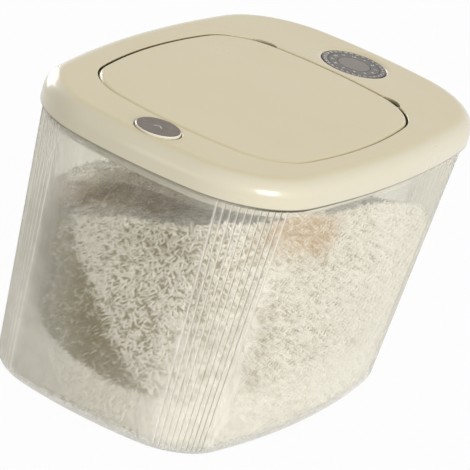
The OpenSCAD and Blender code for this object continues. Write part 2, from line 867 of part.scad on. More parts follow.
module day_ring() {
    shelf = ring_foot_z + ring_shelf_t;
    color([0.55, 0.54, 0.52])
        dial_disc([
            [dial_split_r - ring_step, ring_foot_z], [dial_r, ring_foot_z], [dial_r, dial_face],
            [dial_split_r + dial_gap / 2, dial_face], [dial_split_r + dial_gap / 2, shelf],
            [dial_split_r - ring_step, shelf]
        ]);
}

module month_ring() {
    shelf = ring_foot_z + ring_shelf_t;
    inner = dial_cap_r + dial_gap;
    neck = dial_split_r - ring_step - dial_gap;
    edge = dial_split_r - dial_gap / 2;
    cap_seat = dial_face - cap_disc_t - dial_gap;
    color([0.55, 0.54, 0.52])
        dial_disc([
            [dial_hub_r + dial_gap, ring_foot_z], [neck, ring_foot_z],
            [neck, shelf + dial_gap], [edge, shelf + dial_gap],
            [edge, dial_face], [inner, dial_face],
            [inner, cap_seat], [dial_hub_r + dial_gap, cap_seat]
        ]);
}

module dial_cap() {
    color([0.5, 0.49, 0.47])
        difference() {
            dial_disc([
                [0, dial_floor_z], [dial_hub_r, dial_floor_z], [dial_hub_r, dial_face - cap_disc_t],
                [dial_cap_r, dial_face - cap_disc_t], [dial_cap_r, dial_face], [0, dial_face]
            ]);
            translate([0, dial_y, dial_floor_z - 1])
                cylinder(h = dial_t - 0.2, r = lid_screw_r + pilot_gap, $fn = round_fn);
        }
}

module dial_screw() {
    color([0.7, 0.7, 0.72])
        translate([0, dial_y, 0])
            screw(lid_screw_r, lid_head_r, dial_floor_t + dial_t - 2, dial_floor_z - dial_floor_t);
}

bin_body();
lid_frame();
lid_liner();
lid_seal();
lid_screws();
flip_panel();
panel_liner();
panel_seal();
panel_screws();
mirror([1, 0, 0]) hinge_pin();  // hinge_pin_left
hinge_pin();  // hinge_pin_right
mirror([1, 0, 0]) hinge_spring();  // hinge_spring_left
hinge_spring();  // hinge_spring_right
button_body();
button_plate();
button_spring();
latch_slider();
latch_spring();
day_ring();
month_ring();
dial_cap();
dial_screw();
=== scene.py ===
import logging
import math
from dataclasses import dataclass, field
from enum import Enum
from typing import Callable, Sequence

import bmesh
import bpy
import numpy as np
from mathutils import Matrix, Vector


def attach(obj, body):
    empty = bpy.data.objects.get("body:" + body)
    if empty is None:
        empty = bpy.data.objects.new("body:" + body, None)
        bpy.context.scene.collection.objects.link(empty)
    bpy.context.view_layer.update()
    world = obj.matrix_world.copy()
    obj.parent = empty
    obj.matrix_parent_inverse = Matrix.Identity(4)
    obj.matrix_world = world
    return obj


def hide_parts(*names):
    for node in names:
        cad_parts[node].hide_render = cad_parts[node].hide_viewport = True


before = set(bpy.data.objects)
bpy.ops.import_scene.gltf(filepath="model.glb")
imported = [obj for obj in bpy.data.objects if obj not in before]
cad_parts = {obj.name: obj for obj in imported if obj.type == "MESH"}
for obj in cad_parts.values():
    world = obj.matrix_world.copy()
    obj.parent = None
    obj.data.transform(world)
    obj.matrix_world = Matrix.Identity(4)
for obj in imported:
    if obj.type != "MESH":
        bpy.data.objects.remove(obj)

Socket = bpy.types.NodeSocket
Piece = bpy.types.Object
Material = bpy.types.Material

LOG = logging.getLogger("rice_bin")
MM = 0.001
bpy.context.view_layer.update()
RICE_SEED = 7


class Body(Enum):
    """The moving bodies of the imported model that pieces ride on."""

    BIN = "bin"
    LID = "lid"
    FLAP = "flap"
    BUTTON = "button"
    LATCH = "latch"
    DAY = "day_dial"
    MONTH = "month_dial"


class Brush(Enum):
    """How a metal face was brushed."""

    STRAIGHT = "straight"
    ROUND = "round"


# Materials


class Graph:
    """The node tree of one material or of the world, filled node by node."""

    def __init__(self, name: str, world: bool = False) -> None:
        """Starts an empty material, or an empty world."""
        self.output = "ShaderNodeOutputWorld" if world else "ShaderNodeOutputMaterial"
        self.owner = (bpy.data.worlds if world else bpy.data.materials).new(name)
        self.owner.use_nodes = True
        self.tree = self.owner.node_tree
        self.tree.nodes.clear()

    def node(self, kind: str, sockets: dict | None = None, **settings: object) -> bpy.types.Node:
        """Adds a node.

        Args:
            kind: Blender's name of the node.
            sockets: values or output sockets for its inputs, by name or place.
            settings: properties of the node itself.

        Returns:
            The node.
        """
        made = self.tree.nodes.new(kind)
        for key, value in settings.items():
            setattr(made, key, value)
        for key, value in (sockets or {}).items():
            if isinstance(value, Socket):
                self.tree.links.new(value, made.inputs[key])
            else:
                made.inputs[key].default_value = value
        return made

    def place(self, centre: Sequence[float] = (0, 0, 0), scale: Sequence[float] = (1, 1, 1)) -> Socket:
        """Object coordinates, moved to a centre and stretched.

        Args:
            centre: the point that becomes the origin of the pattern.
            scale: the stretch along each axis.

        Returns:
            The vector socket.
        """
        coords = self.node("ShaderNodeTexCoord").outputs["Object"]
        shift = self.node("ShaderNodeVectorMath", {0: coords, 1: tuple(centre)}, operation="SUBTRACT")
        sockets = {0: shift.outputs[0], 1: tuple(scale)}
        return self.node("ShaderNodeVectorMath", sockets, operation="MULTIPLY").outputs[0]

    def noise(self, vector: Socket, scale: float, detail: float = 2.0) -> Socket:
        """A noise pattern's value from 0 to 1."""
        sockets = {"Vector": vector, "Scale": scale, "Detail": detail}
        return self.node("ShaderNodeTexNoise", sockets).outputs[0]

    def attribute(self, name: str) -> Socket:
        """The value of one of the piece's own attributes, 0 where it has none."""
        return self.node("ShaderNodeAttribute", attribute_name=name).outputs["Fac"]

    def mix(self, share: object, a: bpy.types.Node, b: bpy.types.Node) -> bpy.types.Node:
        """A shader between two shaders."""
        return self.node("ShaderNodeMixShader", {0: share, 1: a.outputs[0], 2: b.outputs[0]})

    def plain_sight(self) -> Socket:
        """Tells what the camera sees from the light that falls on the pieces.

        Returns:
            A socket: 1 for the view, also in gloss and through clear walls, and 0 for other light.
        """
        path = self.node("ShaderNodeLightPath").outputs
        bent = self.sums("MAXIMUM", path["Is Glossy Ray"], path["Is Transmission Ray"])
        seen = self.sums("MAXIMUM", path["Is Camera Ray"], bent)
        return self.sums("MULTIPLY", seen, self.sums("LESS_THAN", path["Diffuse Depth"], 0.5))

    def span(self, value: Socket, low: float, high: float, to_low: float, to_high: float) -> Socket:
        """A value carried from one range to another and held inside it.

        Args:
            value: what is carried.
            low: start of its own range.
            high: end of its own range.
            to_low: what low becomes.
            to_high: what high becomes.

        Returns:
            The new value's socket.
        """
        made = self.node("ShaderNodeMapRange", {0: value, 1: low, 2: high, 3: to_low, 4: to_high})
        return made.outputs[0]

    def sums(self, operation: str, a: object, b: object) -> Socket:
        """One arithmetic step on two values."""
        return self.node("ShaderNodeMath", {0: a, 1: b}, operation=operation).outputs[0]

    def blend(self, share: object, a: object, b: object) -> Socket:
        """A colour between two colours."""
        return self.node("ShaderNodeMix", {0: share, 6: a, 7: b}, data_type="RGBA").outputs[2]

    def bump(self, height: Socket, strength: float, distance: float,
             under: Socket | None = None) -> Socket:
        """A normal that follows a height.

        Args:
            height: the height pattern.
            strength: how much of it shows.
            distance: its depth in metres.
            under: a normal that it is added to.

        Returns:
            The normal socket.
        """
        sockets = {"Height": height, "Strength": strength, "Distance": distance}
        if under is not None:
            sockets["Normal"] = under
        return self.node("ShaderNodeBump", sockets).outputs[0]

    def finish(self, shader: bpy.types.Node) -> Material | bpy.types.World:
        """Joins the last shader to the output and gives the material or the world."""
        self.node(self.output, {"Surface": shader.outputs[0]})
        return self.owner


def rgba(colour: Sequence[float]) -> tuple[float, float, float, float]:
    """A linear colour of three 8-bit display values, with full alpha."""
    def linear(v: float) -> float:
        """One channel from display to linear."""
        v = v / 255
        return v / 12.92 if v <= 0.04045 else ((v + 0.055) / 1.055) ** 2.4

    r, g, b = colour
    return linear(r), linear(g), linear(b), 1.0


@dataclass(frozen=True)
class MouldedPlastic:
    """Opaque injection-moulded plastic with a soft gloss.

    The side attribute turns it to the side colour, a painted sheen on the rounded edge and the skirt, and
    the seam attribute to a painted shade colour.
    """

    name: str
    colour: tuple[int, int, int]
    shade: tuple[int, int, int]
    roughness: float = 0.3
    coat: float = 0.2
    ripple: float = 0.25
    side: tuple[int, int, int] | None = None
    # Colour of the painted shade in the flap's gap and along the hem.
    grime: tuple[int, int, int] = (84, 74, 50)

    def material(self) -> Material:
        """The plastic, faintly clouded in tone and gloss, with a fine grain and a slight ripple."""
        g = Graph(self.name)
        spot = g.place()
        cloud = g.span(g.noise(spot, 9, 1), 0.1, 0.9, 0, 1)
        tone = g.blend(cloud, rgba(self.colour), rgba(self.shade))
        # Painted sheen: the rounded edge and the skirt turn to the paler side colour.
        if self.side is not None:
            tone = g.blend(g.attribute("side"), tone, rgba(self.side))
        # Painted shade in the gap round the flap and along the hem.
        tone = g.blend(g.sums("MULTIPLY", g.attribute("seam"), 0.85), tone, rgba(self.grime))
        rough = g.span(g.noise(spot, 24, 1), 0.1, 0.9, self.roughness - 0.05, self.roughness + 0.07)
        grain = g.bump(g.noise(spot, 1600, 0), 0.02, 0.00005)
        shape = g.bump(g.noise(spot, 9, 0), self.ripple, 0.0008, grain)
        shader = g.node("ShaderNodeBsdfPrincipled", {
            "Base Color": tone, "Roughness": rough, "Normal": shape, "Coat Weight": self.coat,
            "Coat Roughness": 0.12, "IOR": 1.49})
        return g.finish(shader)


@dataclass(frozen=True)
class ClearPlastic:
    """Thick clear plastic that lets the lamps through.

    The haze attribute turns it milky and carries painted highlights and sheen, and the line attribute paints
    dark lines of painted shade.
    """

    name: str
    tint: tuple[int, int, int]
    milk: tuple[int, int, int]
    # Colour of the painted dark lines of shade.
    dark: tuple[int, int, int] = (66, 56, 40)
    roughness: float = 0.015
    straight: float = 0.72

    def material(self) -> Material:
        """The clear wall, with faint flow ripples, scuffs, a milky film with painted highlights and painted
        dark lines.
        """
        g = Graph(self.name)
        spot = g.place()
        flow = g.noise(g.place(scale=(1, 1, 0.35)), 26, 2)
        scuff = g.span(g.noise(spot, 210, 5), 0.56, 0.75, 0, 1)
        rough = g.span(scuff, 0, 1, self.roughness, self.roughness + 0.03)
        normal = g.bump(flow, 0.12, 0.0006)
        glass = g.node("ShaderNodeBsdfPrincipled", {
            "Base Color": rgba(self.tint), "Roughness": rough, "Normal": normal,
            "Transmission Weight": 1.0, "IOR": 1.49})
        through = g.node("ShaderNodeBsdfTransparent", {"Color": rgba(self.tint)})
        path = g.node("ShaderNodeLightPath").outputs
        # Painted shade: dark lines beside the reeds and under the lid's skirt.
        line = g.attribute("line")
        colour = g.blend(line, rgba(self.milk), rgba(self.dark))
        film = g.node("ShaderNodeBsdfDiffuse", {"Color": colour})
        glow = g.node("ShaderNodeBsdfTranslucent", {"Color": colour})
        # Milky film that also carries painted highlights and sheen.
        cloudy = g.sums("MULTIPLY", g.attribute("haze"), g.span(g.noise(spot, 38, 3), 0.3, 0.7, 0.75, 1.15))
        wall = g.mix(g.sums("MAXIMUM", path["Is Shadow Ray"], self.straight), glass, through)
        lit = g.sums("SUBTRACT", 1.0, path["Is Shadow Ray"])
        veil = g.sums("MULTIPLY", g.sums("MAXIMUM", cloudy, line), lit)
        return g.finish(g.mix(veil, wall, g.mix(0.35, film, glow)))


@dataclass(frozen=True)
class MilkyPlastic:
    """Translucent plastic of the lid's inner half."""

    name: str
    colour: tuple[int, int, int]
    clearness: float = 0.2

    def material(self) -> Material:
        """The plastic, letting some light through, with a fine matt grain."""
        g = Graph(self.name)
        spot = g.place()
        cloud = g.span(g.noise(spot, 30, 3), 0.35, 0.65, 0, 1)
        dull = tuple(int(v * 0.95) for v in self.colour)
        tone = g.blend(cloud, rgba(self.colour), rgba(dull))
        rough = g.span(g.noise(spot, 400, 2), 0.3, 0.7, 0.34, 0.5)
        shader = g.node("ShaderNodeBsdfPrincipled", {
            "Base Color": tone, "Roughness": rough, "Transmission Weight": self.clearness, "IOR": 1.46,
            "Normal": g.bump(g.noise(spot, 700, 2), 0.1, 0.00006)})
        return g.finish(shader)


@dataclass(frozen=True)
class BrushedMetal:
    """A metal face brushed straight or round a centre."""

    name: str
    colour: tuple[int, int, int]
    shade: tuple[int, int, int]
    brush: Brush = Brush.STRAIGHT
    centre: tuple[float, float, float] = (0, 0, 0)
    roughness: float = 0.34
    metallic: float = 1.0

    def material(self) -> Material:
        """The metal, its brush lines in tone, roughness and relief."""
        g = Graph(self.name)
        spot = g.place(self.centre)
        if self.brush is Brush.ROUND:
            parts = g.node("ShaderNodeSeparateXYZ", {0: spot})
            flat = g.node("ShaderNodeCombineXYZ", {0: parts.outputs[0], 1: parts.outputs[1]})
            length = g.node("ShaderNodeVectorMath", {0: flat.outputs[0]}, operation="LENGTH")
            sockets = {"W": length.outputs["Value"], "Scale": 5200, "Detail": 3}
            lines = g.node("ShaderNodeTexNoise", sockets, noise_dimensions="1D").outputs[0]
        else:
            lines = g.noise(g.place(self.centre, (0.05, 1, 1)), 4200, 3)
        cloud = g.noise(spot, 120, 2)
        tone = g.blend(g.span(lines, 0.3, 0.7, 0, 1), rgba(self.colour), rgba(self.shade))
        tone = g.blend(g.span(cloud, 0.4, 0.7, 0, 0.35), tone, rgba(self.shade))
        rough = g.span(lines, 0.3, 0.7, self.roughness - 0.06, self.roughness + 0.1)
        shader = g.node("ShaderNodeBsdfPrincipled", {
            "Base Color": tone, "Roughness": rough, "Metallic": self.metallic,
            "Normal": g.bump(lines, 0.15, 0.00003)})
        return g.finish(shader)


@dataclass(frozen=True)
class DrawnSteel:
    """Bright steel of pins, screws and springs."""

    name: str
    colour: tuple[int, int, int] = (196, 196, 198)
    roughness: float = 0.28

    def material(self) -> Material:
        """The steel, with drawing marks and a few duller spots."""
        g = Graph(self.name)
        spot = g.place()
        marks = g.noise(spot, 2600, 3)
        dull = g.span(g.noise(spot, 300, 2), 0.45, 0.7, 0, 1)
        tone = g.blend(g.sums("MULTIPLY", dull, 0.4), rgba(self.colour), rgba((140, 138, 134)))
        rough = g.span(marks, 0.3, 0.7, self.roughness - 0.06, self.roughness + 0.12)
        shader = g.node("ShaderNodeBsdfPrincipled", {
            "Base Color": tone, "Roughness": rough, "Metallic": 1.0,
            "Normal": g.bump(marks, 0.12, 0.00004)})
        return g.finish(shader)


@dataclass(frozen=True)
class Silicone:
    """Milky silicone rubber of the sealing rings."""

    name: str
    colour: tuple[int, int, int] = (236, 234, 224)

    def material(self) -> Material:
        """The rubber, matt, with a dusty bloom."""
        g = Graph(self.name)
        spot = g.place()
        bloom = g.span(g.noise(spot, 90, 4), 0.4, 0.65, 0, 1)
        tone = g.blend(g.sums("MULTIPLY", bloom, 0.5), rgba(self.colour), rgba((222, 220, 206)))
        shader = g.node("ShaderNodeBsdfPrincipled", {
            "Base Color": tone, "Roughness": g.span(bloom, 0, 1, 0.48, 0.66), "Subsurface Weight": 0.25,
            "Subsurface Radius": (0.002, 0.002, 0.0016),
            "Normal": g.bump(g.noise(spot, 1700, 2), 0.2, 0.00005)})
        return g.finish(shader)


@dataclass(frozen=True)
class RiceSkin:
    """Polished white rice.

    The tone attribute runs from 0, painted shade, to 1, pale, and warmth turns the painted shade from 0,
    olive, to 1, brown.
    """

    name: str
    pale: tuple[int, int, int] = (246, 244, 242)
    # The two colours of the painted shade.
    olive: tuple[int, int, int] = (128, 115, 62)
    brown: tuple[int, int, int] = (178, 144, 80)

    def material(self) -> Material:
        """The grains, waxy, with chalky spots and a fine grain."""
        g = Graph(self.name)
        spot = g.place()
        chalk = g.span(g.noise(spot, 900, 2), 0.5, 0.7, 0, 0.18)
        # Painted shade, olive or brown by the warmth attribute.
        shaded = g.blend(g.attribute("warmth"), rgba(self.olive), rgba(self.brown))
        colour = g.blend(g.sums("ADD", g.attribute("tone"), chalk), shaded, rgba(self.pale))
        shader = g.node("ShaderNodeBsdfPrincipled", {
            "Base Color": colour, "Roughness": g.span(chalk, 0, 0.18, 0.38, 0.55),
            "Normal": g.bump(g.noise(spot, 2400, 2), 0.15, 0.00008)})
        return g.finish(shader)


@dataclass(frozen=True)
class Mark:
    """Pale print or inlay of numerals and signs."""

    name: str
    colour: tuple[int, int, int]

    def material(self) -> Material:
        """The print, a little uneven in tone and slightly worn."""
        g = Graph(self.name)
        worn = g.span(g.noise(g.place(), 1500, 3), 0.55, 0.75, 0, 0.5)
        dull = tuple(int(v * 0.8) for v in self.colour)
        shader = g.node("ShaderNodeBsdfPrincipled", {
            "Base Color": g.blend(worn, rgba(self.colour), rgba(dull)),
            "Roughness": g.span(worn, 0, 0.5, 0.4, 0.6)})
        return g.finish(shader)


# Shapes


@dataclass(frozen=True)
class Reeds:
    """The reeded part of a corner: convex reeds with sharp valleys between them."""

    count: int = 10
    span_deg: float = 42.0
    depth: float = 0.7 * MM
    samples: int = 8

    def stations(self, start: float, end: float) -> tuple[np.ndarray, np.ndarray]:
        """The angles along a corner and how deep each lies.

        Args:
            start: the corner's first angle in radians.
            end: its last angle.

        Returns:
            The angles, and for each 0 on the outline and 1 in a valley.
        """
        width = math.radians(self.span_deg)
        first = (start + end - width) / 2
        step = np.linspace(0, 1, self.count * self.samples + 1)
        place = (step * self.count) % 1.0
        place[-1] = 0.0
        deep = np.abs(2 * place - 1) ** 3.0
        pad = width / self.count / 3
        before = np.linspace(start, first - pad, 4)
        after = np.linspace(first + width + pad, end, 4)[:-1]
        angles = np.concatenate([before, first + step * width, after])
        return angles, np.concatenate([np.zeros(len(before)), deep, np.zeros(len(after))])


@dataclass(frozen=True)
class Outline:
    """A rounded rectangle with bulging sides, in millimetres."""

    half_w: float
    half_d: float
    corner_r: float
    bulge: float
    centre_y: float = 0.0
    side_steps: int = 14
    corner_steps: int = 26

    def quarter(self, reeds: Reeds | None) -> np.ndarray:
        """The stations from +X to just before +Y.

        Args:
            reeds: the reeds of the corner, if it has any.

        Returns:
            Rows of x, y, normal x, normal y and depth in a valley.
        """
        a, b, r, s = self.half_w, self.half_d, self.corner_r, self.bulge
        rx, ry = (b * b + s * s) / (2 * s), (a * a + s * s) / (2 * s)
        side, end = np.array([a - rx, 0.0]), np.array([0.0, b - ry])
        apart = end - side
        span = float(np.hypot(*apart))
        along = ((rx - r) ** 2 - (ry - r) ** 2 + span * span) / (2 * span)
        off = math.sqrt((rx - r) ** 2 - along * along)
        unit = apart / span
        corner = side + along * unit + off * np.array([-unit[1], unit[0]])
        if corner[0] < 0 or corner[1] < 0:
            corner = side + along * unit - off * np.array([-unit[1], unit[0]])
        start = math.atan2(corner[1] - side[1], corner[0] - side[0])
        stop = math.atan2(corner[1] - end[1], corner[0] - end[0])
        if reeds is None:
            bend = np.linspace(start, stop, self.corner_steps, endpoint=False)
            deep = np.zeros(len(bend))
        else:
            bend, deep = reeds.stations(start, stop)
        first = np.linspace(0, start, self.side_steps, endpoint=False)
        last = np.linspace(stop, math.pi / 2, self.side_steps, endpoint=False)
        rows = []
        flat = np.zeros(self.side_steps)
        arcs = ((side, rx, first, flat), (corner, r, bend, deep), (end, ry, last, flat))
        for middle, radius, angles, depth in arcs:
            normal = np.stack([np.cos(angles), np.sin(angles)], 1)
            rows.append(np.column_stack([middle + radius * normal, normal, depth]))
        return np.vstack(rows)

    def stations(self, reeds: Reeds | None = None) -> np.ndarray:
        """The whole outline, anticlockwise from +X, in metres where it is a length."""
        q = self.quarter(reeds)
        top = np.array([[0.0, self.half_d, 0.0, 1.0, 0.0]])
        left = q[1:][::-1] * [-1, 1, -1, 1, 1]
        upper = np.vstack([q, top, left])
        whole = np.vstack([upper, upper * [-1, -1, -1, -1, 1]])
        whole[:, 1] += self.centre_y
        whole[:, :2] *= MM
        return whole


def ring(stations: np.ndarray, inset: float, z: float, groove: float = 0.0) -> np.ndarray:
    """Points set in from an outline at one height.

    Args:
        stations: the outline.
        inset: how far in, in millimetres.
        z: the height in millimetres.
        groove: depth of the valleys in millimetres.

    Returns:
        One point for each station, in metres.
    """
    deep = (inset + groove * stations[:, 4])[:, None] * MM
    flat = stations[:, :2] - stations[:, 2:4] * deep
    return np.column_stack([flat, np.full(len(flat), z * MM)])


def alone() -> None:
    """Deselects everything, outside edit mode."""
    if bpy.context.object is not None and bpy.context.object.mode != "OBJECT":
        bpy.ops.object.mode_set(mode="OBJECT")
    bpy.ops.object.select_all(action="DESELECT")


def pick(obj: Piece) -> None:
    """Selects one object alone and makes it the active one."""
    alone()
    obj.select_set(True)
    bpy.context.view_layer.objects.active = obj


def loft(name: str, rings: Sequence[np.ndarray], loop: bool = False, angle_deg: float = 30.0) -> Piece:
    """Extrudes a ring of points through the others.

    Args:
        name: the piece's name.
        rings: rings with the same number of points.
        loop: joins the last ring to the first instead of closing both ends.
        angle_deg: edges sharper than this stay sharp.

    Returns:
        The closed piece.
    """
    alone()
    count = len(rings[0])
    bpy.ops.mesh.primitive_circle_add(vertices=count, radius=1)
    obj = bpy.context.active_object
    obj.name = obj.data.name = name
    bpy.ops.object.mode_set(mode="EDIT")
    bpy.ops.mesh.select_mode(type="VERT")
    bpy.ops.mesh.select_all(action="SELECT")
    edit = bmesh.from_edit_mesh(obj.data)
    layer = edit.verts.layers.int.new("place")
    for k, v in enumerate(edit.verts):
        v[layer] = k
        v.co = rings[0][k]
    bmesh.update_edit_mesh(obj.data)
    if not loop:
        bpy.ops.mesh.edge_face_add()
        bpy.ops.mesh.select_all(action="SELECT")
    for points in list(rings[1:]) + ([rings[0]] if loop else []):
        bpy.ops.mesh.extrude_region_move()
        edit = bmesh.from_edit_mesh(obj.data)
        layer = edit.verts.layers.int["place"]
        for v in edit.verts:
            if v.select:
                v.co = points[v[layer]]
        bmesh.update_edit_mesh(obj.data)
    bpy.ops.mesh.select_all(action="SELECT")
    if loop:
        bpy.ops.mesh.remove_doubles(threshold=1e-7)
    bpy.ops.mesh.normals_make_consistent(inside=False)
    bpy.ops.object.mode_set(mode="OBJECT")
    smooth(obj, angle_deg)
    return obj


def smooth(obj: Piece, angle_deg: float) -> None:
    """Shades an object smooth, but for edges sharper than an angle."""
    pick(obj)
    bpy.ops.object.shade_smooth_by_angle(angle=math.radians(angle_deg))


def turned(name: str, profile: Sequence[tuple[float, float]], centre: tuple[float, float],
           steps: int = 96) -> Piece:
    """Spins a closed profile round an upright axis.

    Args:
        name: the piece's name.
        profile: points of radius and height in millimetres, the first and last on the axis.
        centre: the axis as x and y in millimetres.
        steps: steps of the spin.

    Returns:
        The closed piece.
    """
    alone()
    bpy.ops.mesh.primitive_plane_add(size=1)
    obj = bpy.context.active_object
    obj.name = obj.data.name = name
    bpy.ops.object.mode_set(mode="EDIT")
    bpy.ops.mesh.select_all(action="SELECT")
    bpy.ops.mesh.delete(type="VERT")
    edit = bmesh.from_edit_mesh(obj.data)
    x, y = centre[0] * MM, centre[1] * MM
    made = [edit.verts.new((x + r * MM, y, z * MM)) for r, z in profile]
    for a, b in zip(made, made[1:]):
        edit.edges.new((a, b))
    bmesh.update_edit_mesh(obj.data)
    bpy.ops.mesh.select_all(action="SELECT")
    bpy.ops.mesh.spin(steps=steps, angle=2 * math.pi, center=(x, y, 0), axis=(0, 0, 1))
    bpy.ops.mesh.select_all(action="SELECT")
    bpy.ops.mesh.remove_doubles(threshold=1e-6)
    bpy.ops.mesh.normals_make_consistent(inside=False)
    bpy.ops.object.mode_set(mode="OBJECT")
    smooth(obj, 35)
    return obj


def bar(radius: float, start: Sequence[float], end: Sequence[float], steps: int = 64) -> Piece:
    """A round bar between two points, in millimetres.

    Args:
        radius: its radius.
        start: one end of its axis.
        end: the other end.
        steps: sides of the bar.

    Returns:
        The bar.
    """
    alone()
    a, b = Vector(start) * MM, Vector(end) * MM
    bpy.ops.mesh.primitive_cylinder_add(vertices=steps, radius=radius * MM, depth=(b - a).length)
    obj = bpy.context.active_object
    turn = Vector((0, 0, 1)).rotation_difference(b - a).to_matrix().to_4x4()
    obj.data.transform(Matrix.Translation((a + b) / 2) @ turn)
    return obj


def uprights(radius: float, spots: Sequence[tuple[float, float]], low: float, high: float,
             steps: int = 32) -> list[Piece]:
    """Round bars that stand at spots on the right and at their mirror images on the left.

    Args:
        radius: their radius.
        spots: where they stand, as x and y in millimetres.
        low: where they start.
        high: where they end.
        steps: sides of a bar.

    Returns:
        The bars.
    """
    return [bar(radius, (s * x, y, low), (s * x, y, high), steps) for s in (1, -1) for x, y in spots]


def crossbars(radius: float, near: float, far: float, axis: tuple[float, float],
              steps: int = 32) -> list[Piece]:
    """Two round bars along X, one on each side of the middle.

    Args:
        radius: their radius.
        near: how far from the middle they start, in millimetres.
        far: how far from it they end.
        axis: their y and z.
        steps: sides of a bar.

    Returns:
        The bars.
    """
    return [bar(radius, (s * near, *axis), (s * far, *axis), steps) for s in (1, -1)]


def combine(obj: Piece, others: Sequence[Piece], operation: str) -> None:
    """Adds pieces to an object or cuts them out of it, and removes them.

    Args:
        obj: the object that changes.
        others: what is added or cut out.
        operation: UNION or DIFFERENCE.
    """
    for other in others:
        pick(obj)
        step = obj.modifiers.new("step", "BOOLEAN")
        step.operation = operation
        step.solver = "EXACT"
        step.object = other
        bpy.ops.object.modifier_apply(modifier=step.name)
        bpy.data.objects.remove(other)


def even_normals(obj: Piece, angle_deg: float = 30.0) -> None:
    """Keeps large flat faces flat in smooth shading."""
    smooth(obj, angle_deg)
    step = obj.modifiers.new("normals", "WEIGHTED_NORMAL")
    step.keep_sharp = True
    step.weight = 100
    bpy.ops.object.modifier_apply(modifier=step.name)


def dress(obj: Piece, material: Material) -> None:
    """Gives an object one material all over."""
    obj.data.materials.clear()
    obj.data.materials.append(material)


def paint(obj: Piece, name: str, value: Callable[[np.ndarray], np.ndarray]) -> None:
    """Writes an attribute that follows each point's place.

    Args:
        obj: the object.
        name: the attribute's name.
        value: gives the values of places in metres.
    """
    points = np.zeros(len(obj.data.vertices) * 3)
    obj.data.vertices.foreach_get("co", points)
    made = value(points.reshape(-1, 3)).astype(np.float32)
    obj.data.attributes.new(name, "FLOAT", "POINT").data.foreach_set("value", made)


def settle(obj: Piece, body: Body, material: Material, stands_for: Sequence[str] = ()) -> None:
    """Finishes a new piece: its material, its body and the nodes it stands for.

    Args:
        obj: the piece.
        body: the body it rides on.
        material: its material.
        stands_for: CAD nodes that it replaces.
    """
    dress(obj, material)
    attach(obj, body.value)
    if stands_for:
        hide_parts(*stands_for)
    LOG.info("%s: %d faces on %s", obj.name, len(obj.data.polygons), body.value)


def dress_nodes(names: Sequence[str], material: Material) -> None:
    """Gives CAD nodes a material and reports them."""
    for name in names:
        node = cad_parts[name]
        if not node.material_slots:
            node.data.materials.append(material)
        for entry in node.material_slots:
            entry.material = material
        LOG.info("%s: dressed in %s", name, material.name)


# Sub-assemblies


